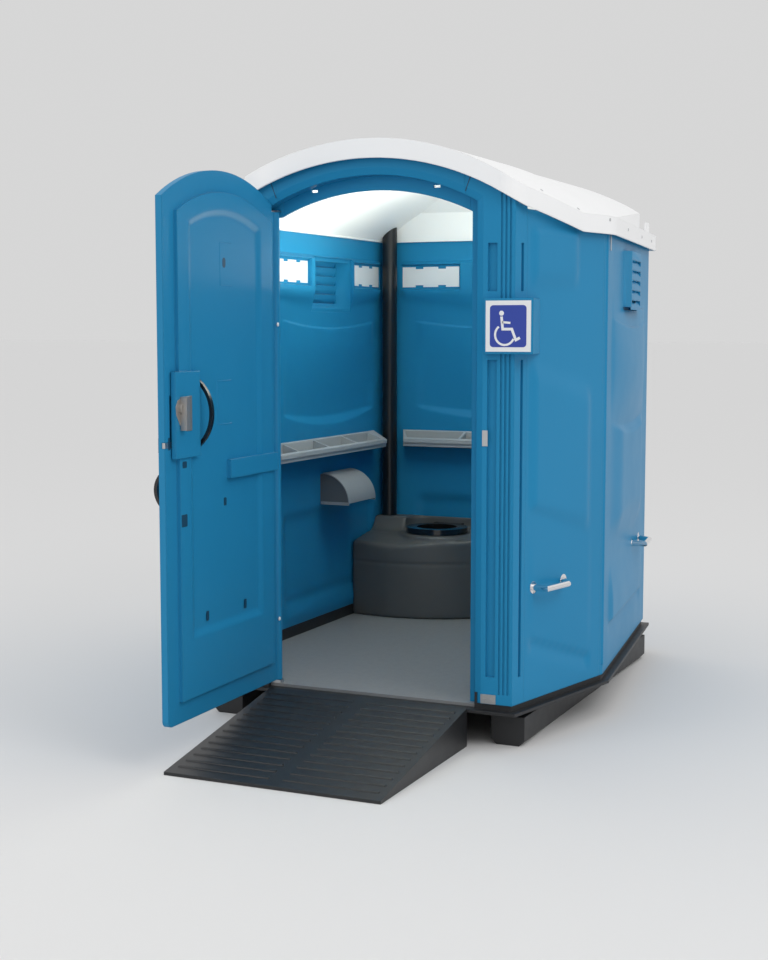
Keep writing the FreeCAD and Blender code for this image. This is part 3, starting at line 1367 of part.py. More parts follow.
def open_path(points, lift):
    """Straight lines through points, level with the ground, as the way of a sweep."""
    sketch = new_sketch(None, "XY_Plane", lift)
    points = [(as_term(x), as_term(y)) for x, y in points]
    ends = [FreeCAD.Vector(x.value, y.value, 0) for x, y in points]
    for index in range(len(ends) - 1):
        sketch.addGeometry(Part.LineSegment(ends[index], ends[index + 1]), False)
        if index:
            sketch.addConstraint(Sketcher.Constraint("Coincident", index - 1, 2, index, 1))
        tie_point(sketch, index, 1, *points[index])
    tie_point(sketch, len(ends) - 2, 2, *points[-1])
    return sketch


def make_bar(name, wall, start, level, rear_first):
    """A grab bar on the outer face of a wall: a bent bar whose rear leg leans back, and two discs."""
    stand = size.bar_stand - size.bar_radius
    end = start + size.bar_length
    foot, bent, turn = (end, start, -1) if rear_first else (start, end, 1)
    way = open_path(((foot, 0), (foot, -stand), (bent - size.bar_slant * turn, -stand),
                     (bent + size.bar_slant * 0.3 * turn, stand * 0.3)), level)
    sweep = doc.addObject("Part::Sweep", "BentBar")
    sweep.Sections = [discs(None, "XZ_Plane", ((foot, level, size.bar_radius),))]
    sweep.Spine = (way, ["Edge1", "Edge2", "Edge3"])
    sweep.Solid = True
    sweep.Transition = "Right corner"
    pieces = [sweep]
    for along in (start, end):
        pieces.append(many_sided(along, -size.plate_thick, level, DISC_SIDES, size.bar_disc, size.plate_thick,
                                 "y"))
    reach = size.bar_disc * 2
    outside = block(start - reach, -reach * 3, level - reach, size.bar_length + reach * 2, reach * 3, reach * 2)
    bar = common(fuse(*pieces), outside)
    stand_on_wall(bar, wall)
    node(bar, name)


def make_sign():
    """The wedge box that turns the sign to the front, and its plate."""
    _, way = run(FRONT_RIGHT, SEAM_RIGHT)
    left = size.front_half - size.box_left
    right = size.front_half + size.box_right
    front = -size.box_front
    foot = on_way(FRONT_RIGHT, way, size.box_reach)
    box = prism(((left, as_term(0)), (left, front), (right, front), foot, FRONT_RIGHT),
                size.box_low, size.box_low + size.box_height)
    node(box, "sign_box")
    middle_x = (left + right) / 2
    middle_z = size.box_low + size.box_height / 2
    node(block(middle_x - size.sign_width / 2, front - size.plate_thick, middle_z - size.sign_height / 2,
               size.sign_width, size.plate_thick, size.sign_height), "sign_plate")


def make_strike():
    left = size.recess_half + size.reveal_width + 1
    plate = block(left, -size.plate_thick, size.bolt_level - size.strike_height / 2, size.strike_width,
                  size.plate_thick, size.strike_height)
    node(plate, "strike_plate")


def make_foot_brackets():
    """The metal feet at the bottom of the front posts, with two bolts each."""
    bolts = []
    for name, sign in (("foot_bracket_right", 1), ("foot_bracket_left", -1)):
        inner = size.front_half - size.foot_from_corner
        low_x = inner if sign > 0 else -inner - size.foot_width
        low_z = size.wall_skirt + 2
        node(block(low_x, -size.foot_thick, low_z, size.foot_width, size.foot_thick, size.foot_height), name)
        for share in (0.27, 0.73):
            bolts.append(many_sided(low_x + size.foot_width * share, -size.foot_thick - size.bolt_head_high,
                                    low_z + size.foot_height * 0.4, 6, size.bolt_head, size.bolt_head_high, "y"))
    node(group(*bolts), "foot_bolts")


# The door: every piece is made with the leaf closed, X from the hinge line, and turned open

def on_leaf(obj):
    return place(obj, -size.pivot_left, size.pivot_back, 0, (0, 0, 1), -size.door_open)


def make_leaf():
    body = plain_body()
    thick = size.leaf_half_thick
    width = size.leaf_width
    half = width - size.pivot_left
    radius = arch_radius(half, size.leaf_rise)
    apex = size.leaf_spring + size.leaf_rise
    notch = size.leaf_notch
    reach = size.pivot_left - notch
    notch_top = apex - radius + (radius * radius - reach * reach).sqrt()
    corner = size.leaf_corner
    slab = outline(body, "XZ_Plane", (
        (as_term(0), size.leaf_bottom), (width - corner, size.leaf_bottom), (width, size.leaf_bottom + corner),
        (width, size.leaf_spring), (notch, notch_top), (notch, size.leaf_spring), (as_term(0), size.leaf_spring),
    ), arcs={1: (corner * 1.002, 1), 3: (radius, 1)}, lift=-size.leaf_flange)
    pad(body, slab, size.leaf_flange + thick)
    inset = size.leaf_border
    left = size.leaf_hinge_border
    raised_radius = radius - inset
    right_half = half - inset
    left_half = size.pivot_left - left
    raised_apex = apex - inset

    def raised_side(reach_x):
        return raised_apex - raised_radius + (raised_radius * raised_radius - reach_x * reach_x).sqrt()

    raised = outline(body, "XZ_Plane", (
        (left, size.leaf_bottom + inset), (width - inset, size.leaf_bottom + inset),
        (width - inset, raised_side(right_half)), (left, raised_side(left_half)),
    ), arcs={2: (raised_radius, 1)}, lift=-size.leaf_flange)
    pad(body, raised, thick - size.leaf_flange, backwards=True)
    frame = size.leaf_frame
    low = size.leaf_recess_low
    field_right = width - frame
    field_left = frame
    field_apex = apex - size.leaf_frame_top
    field_half = (field_right - field_left) / 2
    field_radius = arch_radius(field_half, size.leaf_field_rise)
    field = outline(body, "XZ_Plane", (
        (field_left, low), (field_right, low), (field_right, field_apex - size.leaf_field_rise),
        (field_left, field_apex - size.leaf_field_rise),
    ), arcs={2: (field_radius, 1)}, lift=-thick - 1)
    pocket(body, field, size.leaf_recess + 1, backwards=True)
    latch_pad = rectangle(body, "XZ_Plane", width - size.latch_pad_far, width - size.latch_pad_near,
                          size.latch_pad_low, size.latch_pad_high, lift=-(thick - size.leaf_recess))
    pad(body, latch_pad, size.leaf_recess + size.latch_pad_rise, backwards=True)
    rail = rectangle(body, "XZ_Plane", notch, size.rail_end, size.rail_low, size.rail_high,
                     lift=-(thick - size.leaf_recess))
    pad(body, rail, size.leaf_recess + size.rail_rise, backwards=True)
    cave_right = lever_x() + size.crank_room
    cavern = rectangle(body, "XZ_Plane", lever_x() - size.crank_room, cave_right,
                       size.bolt_level - size.bolt_half_high - size.slide_gap, size.lever_level + size.crank_room)
    pocket(body, cavern, size.bolt_half_thick * 2 + size.slide_gap * 2, middle=True)
    tunnel = rectangle(body, "XZ_Plane", cave_right - 1, width + 1,
                       size.bolt_level - size.bolt_half_high - size.slide_gap,
                       size.bolt_level + size.bolt_half_high + size.slide_gap)
    pocket(body, tunnel, size.bolt_half_thick * 2 + size.slide_gap * 2, middle=True)
    shaft = discs(body, "XZ_Plane", ((lever_x(), size.lever_level, size.shaft_radius + size.pin_gap),))
    pocket(body, shaft, thick + size.latch_pad_rise + 1)
    flag_slot = rectangle(body, "XZ_Plane", flag_x() - size.slide_gap,
                          flag_x() + size.flag_tab + size.bolt_throw + size.slide_gap,
                          size.bolt_level - size.bolt_half_high * 0.6, size.bolt_level + size.bolt_half_high * 0.6)
    pocket(body, flag_slot, thick + 1, backwards=True)
    barrel = rod(0, 0, size.leaf_bottom, thick, size.leaf_spring - size.leaf_bottom)
    low_hole = rod(0, 0, size.leaf_bottom - 1, size.pin_radius + size.pin_gap, size.pin_grip + 3)
    high_hole = rod(0, 0, size.leaf_spring - size.pin_grip - 2, size.pin_radius + size.pin_gap,
                    size.pin_grip + 3)
    leaf = cut(cut(fuse(body, barrel), low_hole), high_hole)
    node(on_leaf(leaf), "door_leaf")


def lever_x():
    return size.leaf_width - size.lever_in


def flag_x():
    return lever_x() + size.crank_reach + 6


def make_hinge():
    """Fixed pins and brackets that the leaf turns on."""
    x, y = -size.pivot_left, size.pivot_back
    floor_top = size.rim_top + size.floor_thick
    low_top = size.leaf_bottom - 2
    edge = -recess_left()
    width = size.leaf_half_thick * 2 + size.leaf_room
    deep = size.recess_depth - size.wall_thick
    node(block(edge, size.wall_thick, floor_top, width, deep, low_top - floor_top), "hinge_bracket_low")
    node(rod(x, y, low_top, size.pin_radius, size.pin_grip), "hinge_pin_low")
    high_low = size.leaf_spring + 2
    node(block(edge, size.wall_thick, high_low, width, deep, size.bracket_thick), "hinge_bracket_high")
    node(rod(x, y, high_low - size.pin_grip, size.pin_radius, size.pin_grip), "hinge_pin_high")


def bow(name, length, reach, middle_x, middle_z, base, side):
    """A bow handle that stands on the leaf's inner face (side 1) or outer face (side -1)."""
    body = new_body(name)
    half = length / 2
    outer = arch_radius(half, reach)
    inner_half = half - size.pull_radius * 2
    inner_reach = reach - size.pull_radius * 1.6
    inner = arch_radius(inner_half, inner_reach)
    foot = base * side
    profile = outline(body, "YZ_Plane", (
        (foot, middle_z - half), (foot, middle_z - inner_half),
        (foot, middle_z + inner_half), (foot, middle_z + half),
    ), arcs={1: (inner, side), 3: (outer, -side)}, lift=middle_x - size.pull_radius)
    pad(body, profile, size.pull_radius * 2)
    on_leaf(body)


def make_latch():
    thick = size.leaf_half_thick
    level = size.bolt_level
    x = lever_x()
    half_t = size.bolt_half_thick
    half_h = size.bolt_half_high
    start = x - size.crank_reach * 2
    end = size.leaf_width - 2
    bar = block(start, -half_t, level - half_h, end - start, half_t * 2, half_h * 2)
    yoke_half = size.yoke_half
    yoke = block(x - size.crank_shift - yoke_half, -half_t, level, yoke_half * 2, half_t - 0.5,
                 size.lever_level + size.crank_shift + size.yoke_slot * 0.5 + 5 - level)
    slot = block(x - size.crank_shift - size.crank_pin - size.yoke_play, -half_t - 1,
                 size.lever_level + size.crank_shift - size.yoke_slot * 0.5,
                 (size.crank_pin + size.yoke_play) * 2, half_t * 2 + 2, size.yoke_slot)
    node(on_leaf(cut(fuse(bar, yoke), slot)), "latch_bolt")
    tab = block(flag_x(), -thick - size.flag_thick - 1, level - half_h * 0.5, size.flag_tab,
                thick + 1 + size.flag_thick - half_t, half_h)
    flag_plate = block(flag_x() - (size.flag_width - size.flag_tab) / 2, -thick - 1 - size.flag_thick,
                       level - size.flag_high / 2, size.flag_width, size.flag_thick, size.flag_high)
    node(on_leaf(fuse(tab, flag_plate)), "occupancy_flag")
    half = size.crank_pin * 2
    aslant = size.crank_shift / size.crank_reach
    centre = (x, size.lever_level)

    def crank_point(along, across):
        return (centre[0] - aslant * along + aslant * across, centre[1] + aslant * along + aslant * across)

    crank_end = size.crank_reach + half
    crank = prism((crank_point(0, -half), crank_point(crank_end, -half), crank_point(crank_end, half),
                   crank_point(0, half)), half_t, half_t * 2 - 0.5, plane="XZ_Plane")
    shaft = rod(x, 0.5, size.lever_level, size.shaft_radius, thick + size.latch_pad_rise + size.knob_gap, "y")
    pin = rod(x - size.crank_shift, -half_t + 0.5, size.lever_level + size.crank_shift, size.crank_pin, half_t + 1,
              "y")
    grip_y = thick + size.latch_pad_rise + size.knob_gap
    hub = rod(x, grip_y, size.lever_level, size.knob_radius, size.knob_thick, "y")
    grip = block(x - size.grip_half, grip_y, size.lever_level - size.grip_down, size.grip_half * 2,
                 size.knob_thick + size.grip_out, size.grip_down + size.grip_up)
    node(on_leaf(fuse(crank, shaft, pin, hub, grip)), "latch_lever")
    box_low = level - size.flag_box_high / 2
    box_x = flag_x() - (size.flag_width - size.flag_tab) / 2 - 4
    box_width = size.flag_width + size.bolt_throw + 8
    box_deep = size.flag_thick + 2 + size.flag_wall
    hull = block(box_x - size.flag_wall, -thick - box_deep, box_low, box_width + size.flag_wall * 2, box_deep,
                 size.flag_box_high)
    room = block(box_x, -thick - box_deep + size.flag_wall, box_low + size.flag_wall, box_width,
                 box_deep, size.flag_box_high - size.flag_wall * 2)
    window = block(box_x + box_width / 2 - size.flag_view / 2, -thick - box_deep - 1,
                   level - size.flag_high * 0.3, size.flag_view, size.flag_wall + 2, size.flag_high * 0.6)
    node(on_leaf(cut(cut(hull, room), window)), "indicator_box")
    return level


make_skid("skid_right", size.skid_right - size.skid_width)
make_skid("skid_left", -size.skid_left)
make_base()
make_floor()
make_ramp()
make_front_post("front_post_right", 1)
make_front_post("front_post_left", -1)
make_header()

WALL_RIGHT_FRONT = wall_run(FRONT_RIGHT, SEAM_RIGHT)
WALL_RIGHT_REAR = wall_run(SEAM_RIGHT, REAR_RIGHT)
WALL_REAR = wall_run(REAR_RIGHT, REAR_LEFT)
WALL_LEFT_REAR = wall_run(REAR_LEFT, SEAM_LEFT)
WALL_LEFT_FRONT = wall_run(SEAM_LEFT, FRONT_LEFT)
make_flat_panel("side_panel_front_right", WALL_RIGHT_FRONT, size.post_wrap,
                WALL_RIGHT_FRONT[2] - size.seam_post, 1)
make_flat_panel("side_panel_front_left", WALL_LEFT_FRONT, size.seam_post,
                WALL_LEFT_FRONT[2] - size.post_wrap, -1)
make_bulged_panel("side_panel_rear_right", WALL_RIGHT_REAR, size.seam_post,
                  WALL_RIGHT_REAR[2] - size.rear_post, size.bulge_margin, size.vent_right)
make_bulged_panel("side_panel_rear_left", WALL_LEFT_REAR, size.rear_post,
                  WALL_LEFT_REAR[2] - size.seam_post, size.bulge_margin, WALL_LEFT_REAR[2] - size.vent_left)
make_bulged_panel("rear_panel", WALL_REAR, size.rear_post, WALL_REAR[2] - size.rear_post, size.rear_margin)
make_corner("seam_post_right", FRONT_RIGHT, SEAM_RIGHT, REAR_RIGHT, size.seam_post, size.seam_groove)
make_corner("seam_post_left", REAR_LEFT, SEAM_LEFT, FRONT_LEFT, size.seam_post, size.seam_groove)
make_corner("rear_post_right", SEAM_RIGHT, REAR_RIGHT, REAR_LEFT, size.rear_post, None)
make_corner("rear_post_left", REAR_RIGHT, REAR_LEFT, SEAM_LEFT, size.rear_post, None)
make_roof()
make_pipe()
make_tank()
make_seat()
make_shelves()
make_dispenser()
make_notices()
make_bar("grab_bar_front_right", WALL_RIGHT_FRONT, size.bar_front_start, size.bar_level, False)
make_bar("grab_bar_front_left", WALL_LEFT_FRONT,
         WALL_LEFT_FRONT[2] - size.bar_front_start - size.bar_length, size.bar_level, True)
make_bar("grab_bar_rear_right", WALL_RIGHT_REAR, size.bar_rear_start, size.bar_level, False)
make_bar("grab_bar_rear_left", WALL_LEFT_REAR,
         WALL_LEFT_REAR[2] - size.bar_rear_start - size.bar_length, size.bar_level, True)
make_sign()
make_strike()
make_foot_brackets()
make_leaf()
make_hinge()
bow("pull_inner", size.pull_length, size.pull_gap + size.pull_radius * 2, size.leaf_width - size.pull_in,
    size.pull_level, size.leaf_half_thick - size.leaf_recess, 1)
bow("pull_outer", size.outer_pull_length, size.pull_gap, size.leaf_width - size.outer_pull_in,
    size.outer_pull_level, size.leaf_half_thick, -1)
make_latch()


# The frame: the middle of the whole outline at rest, on the ground, becomes the origin

seam_middle = inset_corner(FRONT_RIGHT, SEAM_RIGHT, REAR_RIGHT, size.seam_round)[0]
widest = seam_middle + size.seam_round + size.fascia_out
door_reach = size.leaf_width * size.door_open.sine() + size.leaf_half_thick * size.door_open.cosine()
shift_x = (size.seam_left + size.bar_stand - widest) / 2
shift_y = (door_reach - size.pivot_back - size.cabin_depth - size.bulge_rise) / 2
for piece in NODES:
    found = dict((path.lstrip("."), formula) for path, formula in piece.ExpressionEngine)
    for axis, shift in (("x", shift_x), ("y", shift_y)):
        path = "Placement.Base." + axis
        piece.setExpression(path, "%s + %s" % (found.get(path, "0"), shift.formula))

doc.recompute()
failed = [obj.Name + " " + obj.Label for obj in doc.Objects if "Invalid" in obj.State or "Error" in obj.State]
for piece in NODES:
    shape = piece.Shape
    if shape.isNull() or not shape.isValid() or not shape.Solids:
        failed.append("shape of " + piece.Label)
for line in failed:
    print("failed:", line)
os.makedirs("parts", exist_ok=True)
for piece in NODES:
    piece.Shape.exportStep("parts/%s.step" % piece.Label)
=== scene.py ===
"""Looks of the portable toilet cabin: materials, moulded relief, fittings, lights and the camera."""

import math

import bmesh
import bpy
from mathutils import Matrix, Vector


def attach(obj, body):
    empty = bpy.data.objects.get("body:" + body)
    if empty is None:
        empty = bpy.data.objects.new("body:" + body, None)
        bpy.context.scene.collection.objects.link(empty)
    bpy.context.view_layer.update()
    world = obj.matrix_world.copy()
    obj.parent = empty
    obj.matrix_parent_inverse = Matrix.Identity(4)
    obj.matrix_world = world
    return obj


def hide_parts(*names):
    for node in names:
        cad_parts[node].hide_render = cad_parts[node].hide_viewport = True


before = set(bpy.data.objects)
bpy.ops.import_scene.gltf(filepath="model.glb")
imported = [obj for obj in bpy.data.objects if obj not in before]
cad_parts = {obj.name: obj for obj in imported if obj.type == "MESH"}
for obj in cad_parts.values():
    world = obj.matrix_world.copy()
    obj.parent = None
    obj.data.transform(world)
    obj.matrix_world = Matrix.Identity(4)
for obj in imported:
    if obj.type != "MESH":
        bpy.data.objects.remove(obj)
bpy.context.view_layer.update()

# The CAD frame's origin from the doorway's middle on the front face, in metres
SHIFT_X = 0.0674314
SHIFT_Y = -0.5973866


def at(x, y, z):
    """A point given from the doorway's middle, in millimetres, as a point of the frame."""
    return Vector((x / 1000 + SHIFT_X, y / 1000 + SHIFT_Y, z / 1000))


# Materials

def new_material(name, color, rough=0.4, metal=0.0, coat=0.0):
    """A plain material, with its constant values on the shader's own sockets."""
    mat = bpy.data.materials.new(name)
    mat.use_nodes = True
    shader = mat.node_tree.nodes["Principled BSDF"]
    shader.inputs["Base Color"].default_value = (*color, 1)
    shader.inputs["Roughness"].default_value = rough
    shader.inputs["Metallic"].default_value = metal
    shader.inputs["Coat Weight"].default_value = coat
    return mat


def add_grain(mat, scale, strength, edge):
    """A fine moulded or cast surface, as bump from noise, over edges rounded by a radius."""
    nodes, links = mat.node_tree.nodes, mat.node_tree.links
    where = nodes.new("ShaderNodeTexCoord")
    noise = nodes.new("ShaderNodeTexNoise")
    noise.inputs["Scale"].default_value = scale
    noise.inputs["Detail"].default_value = 3.0
    bump = nodes.new("ShaderNodeBump")
    bump.inputs["Strength"].default_value = strength
    bump.inputs["Distance"].default_value = 0.001
    links.new(where.outputs["Object"], noise.inputs["Vector"])
    links.new(noise.outputs["Fac"], bump.inputs["Height"])
    if edge:
        bevel = nodes.new("ShaderNodeBevel")
        bevel.samples = 4
        bevel.inputs["Radius"].default_value = edge
        links.new(bevel.outputs["Normal"], bump.inputs["Normal"])
    links.new(bump.outputs["Normal"], nodes["Principled BSDF"].inputs["Normal"])


def vary_color(mat, color, spread, scale):
    """Slow changes of tone over a surface, a share darker and lighter than its colour."""
    nodes, links = mat.node_tree.nodes, mat.node_tree.links
    where = nodes.new("ShaderNodeTexCoord")
    noise = nodes.new("ShaderNodeTexNoise")
    noise.inputs["Scale"].default_value = scale
    mix = nodes.new("ShaderNodeMix")
    mix.data_type = "RGBA"
    mix.inputs[6].default_value = (*[v * (1 - spread) for v in color], 1)
    mix.inputs[7].default_value = (*[v * (1 + spread) for v in color], 1)
    links.new(where.outputs["Object"], noise.inputs["Vector"])
    links.new(noise.outputs["Fac"], mix.inputs["Factor"])
    links.new(mix.outputs[2], nodes["Principled BSDF"].inputs["Base Color"])


def vary_rough(mat, low, high, scale):
    """Duller and glossier patches, as handled plastic has."""
    nodes, links = mat.node_tree.nodes, mat.node_tree.links
    where = nodes.new("ShaderNodeTexCoord")
    noise = nodes.new("ShaderNodeTexNoise")
    noise.inputs["Scale"].default_value = scale
    noise.inputs["Detail"].default_value = 4.0
    spread = nodes.new("ShaderNodeMapRange")
    spread.inputs["To Min"].default_value = low
    spread.inputs["To Max"].default_value = high
    links.new(where.outputs["Object"], noise.inputs["Vector"])
    links.new(noise.outputs["Fac"], spread.inputs["Value"])
    links.new(spread.outputs["Result"], nodes["Principled BSDF"].inputs["Roughness"])


def finish(name, color, spread, tone_scale, rough, grain, edge, metal=0.0, coat=0.0, gloss=0.5):
    """A material whose tone, gloss and surface vary a little; grain is the noise's scale and strength."""
    mat = new_material(name, color, metal=metal, coat=coat)
    mat.node_tree.nodes["Principled BSDF"].inputs["Specular IOR Level"].default_value = gloss
    vary_color(mat, color, spread, tone_scale)
    vary_rough(mat, rough * 0.85, rough * 1.15, tone_scale * 3)
    add_grain(mat, *grain, edge)
    return mat


blue = finish("shell_blue", (0.020, 0.240, 0.465), 0.04, 2.0, 0.36, (900, 0.05), 0.005, gloss=0.10)
door_blue = finish("door_blue", (0.017, 0.225, 0.440), 0.04, 2.0, 0.40, (900, 0.05), 0.006, gloss=0.20)
field_blue = finish("field_blue", (0.017, 0.225, 0.440), 0.04, 2.0, 0.40, (900, 0.05), 0.0, gloss=0.20)
# Dark blue: painted shade in the door's slots and holes, and the colour of the header's joint lines
slot_shade_and_seam_blue = finish("slot_shade_and_seam_blue", (0.004, 0.050, 0.105), 0.05, 9.0, 0.50, (700, 0.05), 0.0)
white = finish("roof_white", (0.93, 0.935, 0.94), 0.02, 3.0, 0.35, (700, 0.04), 0.006)
black = finish("base_black", (0.016, 0.017, 0.019), 0.15, 6.0, 0.48, (500, 0.15), 0.004)
ramp_black = finish("ramp_black", (0.015, 0.016, 0.018), 0.15, 5.0, 0.40, (600, 0.15), 0.003)
floor_grey = finish("floor_grey", (0.25, 0.255, 0.26), 0.08, 40.0, 0.55, (800, 0.3), 0.0)
tank_grey = finish("tank_grey", (0.100, 0.104, 0.104), 0.07, 4.0, 0.42, (500, 0.12), 0.0)
shelf_grey = finish("shelf_grey", (0.44, 0.45, 0.455), 0.04, 8.0, 0.40, (500, 0.08), 0.003)
holder_grey = finish("holder_grey", (0.13, 0.135, 0.14), 0.06, 9.0, 0.38, (500, 0.08), 0.0)
cover_grey = finish("cover_grey", (0.34, 0.35, 0.36), 0.03, 4.0, 0.42, (500, 0.08), 0.0)
gloss_black = finish("gloss_black", (0.008, 0.008, 0.009), 0.15, 9.0, 0.22, (500, 0.02), 0.002, coat=0.3)
pipe_black = finish("pipe_black", (0.011, 0.011, 0.012), 0.15, 7.0, 0.30, (400, 0.03), 0.0)
steel = finish("steel", (0.55, 0.56, 0.57), 0.08, 30.0, 0.33, (900, 0.1), 0.001, metal=1.0)
chrome = finish("bright_steel", (0.82, 0.82, 0.83), 0.03, 20.0, 0.14, (900, 0.02), 0.001, metal=1.0)
latch_grey = finish("latch_grey", (0.42, 0.40, 0.38), 0.10, 25.0, 0.42, (300, 0.15), 0.002, metal=0.8)
plate_white = finish("plate_white", (0.84, 0.85, 0.86), 0.02, 8.0, 0.45, (500, 0.03), 0.0)
sign_blue = finish("sign_blue", (0.022, 0.055, 0.36), 0.04, 12.0, 0.33, (500, 0.02), 0.0)
paper = finish("paper", (0.82, 0.82, 0.80), 0.03, 20.0, 0.88, (250, 0.4), 0.0)
flag_green = finish("flag_green", (0.03, 0.33, 0.08), 0.05, 20.0, 0.38, (500, 0.02), 0.0)

LOOKS = {
    "skid_right": black, "skid_left": black, "base_pan": black, "floor_tread": floor_grey,
    "access_ramp": ramp_black, "roof_shell": white, "vent_pipe": pipe_black, "vent_cap": pipe_black,
    "waste_tank": tank_grey, "seat_ring": gloss_black, "seat_pin": steel, "seat_bracket": gloss_black,
    "shelf_left": shelf_grey, "shelf_rear": shelf_grey, "paper_holder": holder_grey,
    "paper_spindle": holder_grey, "paper_roll_1": paper, "paper_roll_2": paper, "cover_pin": steel,
    "paper_cover": cover_grey, "notice_plates_left": plate_white, "notice_plate_rear": plate_white,
    "grab_bar_front_right": chrome, "grab_bar_front_left": chrome, "grab_bar_rear_right": chrome,
    "grab_bar_rear_left": chrome, "sign_plate": plate_white, "strike_plate": steel,
    "foot_bracket_right": steel, "foot_bracket_left": steel, "foot_bolts": steel,
    "hinge_bracket_low": steel, "hinge_pin_low": steel, "hinge_bracket_high": steel,
    "hinge_pin_high": steel, "pull_inner": gloss_black, "pull_outer": gloss_black, "latch_bolt": steel,
    "occupancy_flag": flag_green, "latch_lever": latch_grey, "indicator_box": gloss_black,
    "door_leaf": door_blue,
}
for name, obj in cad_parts.items():
    obj.data.materials.clear()
    obj.data.materials.append(LOOKS.get(name, blue))

# Making of pieces

def smooth(start, end, value):
    """0 at start and 1 at end, with a soft run between; start may lie above end."""
    share = min(1.0, max(0.0, (value - start) / (end - start)))
    return share * share * (3 - 2 * share)


def lines(low, high, step, extra=()):
    """Grid lines from low to high: an even row, and extra ones where a feature needs them."""
    count = max(1, round((high - low) / step))
    values = [low + (high - low) * i / count for i in range(count + 1)]
    fixed = [v for v in extra if low < v < high]
    values = [v for v in values if v in (low, high) or all(abs(v - f) > step * 0.3 for f in fixed)]
    return sorted(set(values + fixed))


def add_piece(name, mesh, mat, body, sharp=40.0):
    """A mesh as a piece with one material, riding on a body."""
    data = bpy.data.meshes.new(name)
    mesh.to_mesh(data)
    mesh.free()
    for face in data.polygons:
        face.use_smooth = True
    data.set_sharp_from_angle(angle=math.radians(sharp))
    obj = bpy.data.objects.new(name, data)
    bpy.context.collection.objects.link(obj)
    obj.data.materials.append(mat)
    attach(obj, body)
    return obj


def slab_mesh(us, zs, outer, inner, keep):
    """A closed slab between two surfaces over the grid's kept cells."""
    mesh = bmesh.new()
    made = {}

    def vert(i, j, side):
        key = (i, j, side)
        if key not in made:
            made[key] = mesh.verts.new((outer, inner)[side](us[i], zs[j]))
        return made[key]

    cells = {(i, j) for i in range(len(us) - 1) for j in range(len(zs) - 1)
             if keep((us[i] + us[i + 1]) / 2, (zs[j] + zs[j + 1]) / 2)}
    for i, j in sorted(cells):
        here, right, above, far = (i, j), (i + 1, j), (i, j + 1), (i + 1, j + 1)
        for side in (0, 1):
            mesh.faces.new([vert(*corner, side) for corner in (here, right, far, above)])
        for beside, one, two in (((i, j - 1), here, right), ((i, j + 1), above, far),
                                 ((i - 1, j), here, above), ((i + 1, j), right, far)):
            if beside not in cells:
                mesh.faces.new([vert(*one, 0), vert(*two, 0), vert(*two, 1), vert(*one, 1)])
    bmesh.ops.recalc_face_normals(mesh, faces=mesh.faces)
    return mesh


def plate_mesh(outline, place, thick):
    """A flat plate of any outline, with place(x, z, depth) giving its points."""
    mesh = bmesh.new()
    front = mesh.faces.new([mesh.verts.new(place(x, z, 0)) for x, z in outline])
    back = mesh.faces.new([mesh.verts.new(place(x, z, thick)) for x, z in outline])
    for i in range(len(outline)):
        j = (i + 1) % len(outline)
        mesh.faces.new([front.verts[i], front.verts[j], back.verts[j], back.verts[i]])
    bmesh.ops.recalc_face_normals(mesh, faces=mesh.faces)
    return mesh


def rounded_rect(left, low, right, high, radius):
    """The outline of a rectangle with round corners."""
    steps = 6
    points = []
    for cx, cz, start in ((right - radius, low + radius, -90), (right - radius, high - radius, 0),
                          (left + radius, high - radius, 90), (left + radius, low + radius, 180)):
        for k in range(steps + 1):
            angle = math.radians(start + 90 * k / steps)
            points.append((cx + radius * math.cos(angle), cz + radius * math.sin(angle)))
    return points


# Moulded walls, measured in millimetres along the wall, up and in from its outer face

CORNERS = {"front_left": (-602, 0), "front_right": (602, 0), "seam_right": (760, 687),
           "rear_right": (590, 1990), "rear_left": (-845, 1990), "seam_left": (-845, 687)}
WALL_THICK = 28
WALL_FOOT = 168
CURB_TOP = 209
CURB_GAP = 6
WALL_TOP = 2054
SEAM_POST = 30
REAR_POST = 46
FRONT_POST = 84

# Levels of the bulged walls' relief, from the floor up
GROOVE_LOW, GROOVE_HIGH = 350, 372
FIELD_LOW = 640
LEDGE_LOW, LEDGE_HIGH = 1205, 1218
SMILE = 1645
BAND_LOW, BAND_HIGH, BAND_END = 1800, 1942, 1958
POCKET_LOW, POCKET_HIGH = 1815, 1935

# The vent's middle from the seam, half its width, and its levels
VENT_PLACE, VENT_HALF, VENT_LOW, VENT_HIGH = 655, 214, 1690, 1950

# How far the front side panels' slopes fall on their way back
DIAGONAL_FALL = 120


def wall_place(start, end):
    """The length of a wall and its point at a way along, a height and a depth from the outer face."""
    a, b = CORNERS[start], CORNERS[end]
    length = math.dist(a, b)
    dx, dy = (b[0] - a[0]) / length, (b[1] - a[1]) / length

    def place(u, z, depth):
        return at(a[0] + dx * u - dy * depth, a[1] + dy * u + dx * depth, z)
    return length, place


def crown(u, left, right):
    """The bulge's arch across a wall, and its share inside the edges."""
    t = (2 * u - left - right) / (right - left)
    return max(0.0, 1 - t * t), smooth(1.0, 0.90, abs(t))


def bulge_levels(c):
    """The heights of the curved line under the band, and of the ledge's upper and lower edge."""
    return SMILE - 38 * c, LEDGE_HIGH - 34 * c, LEDGE_LOW - 62 * c


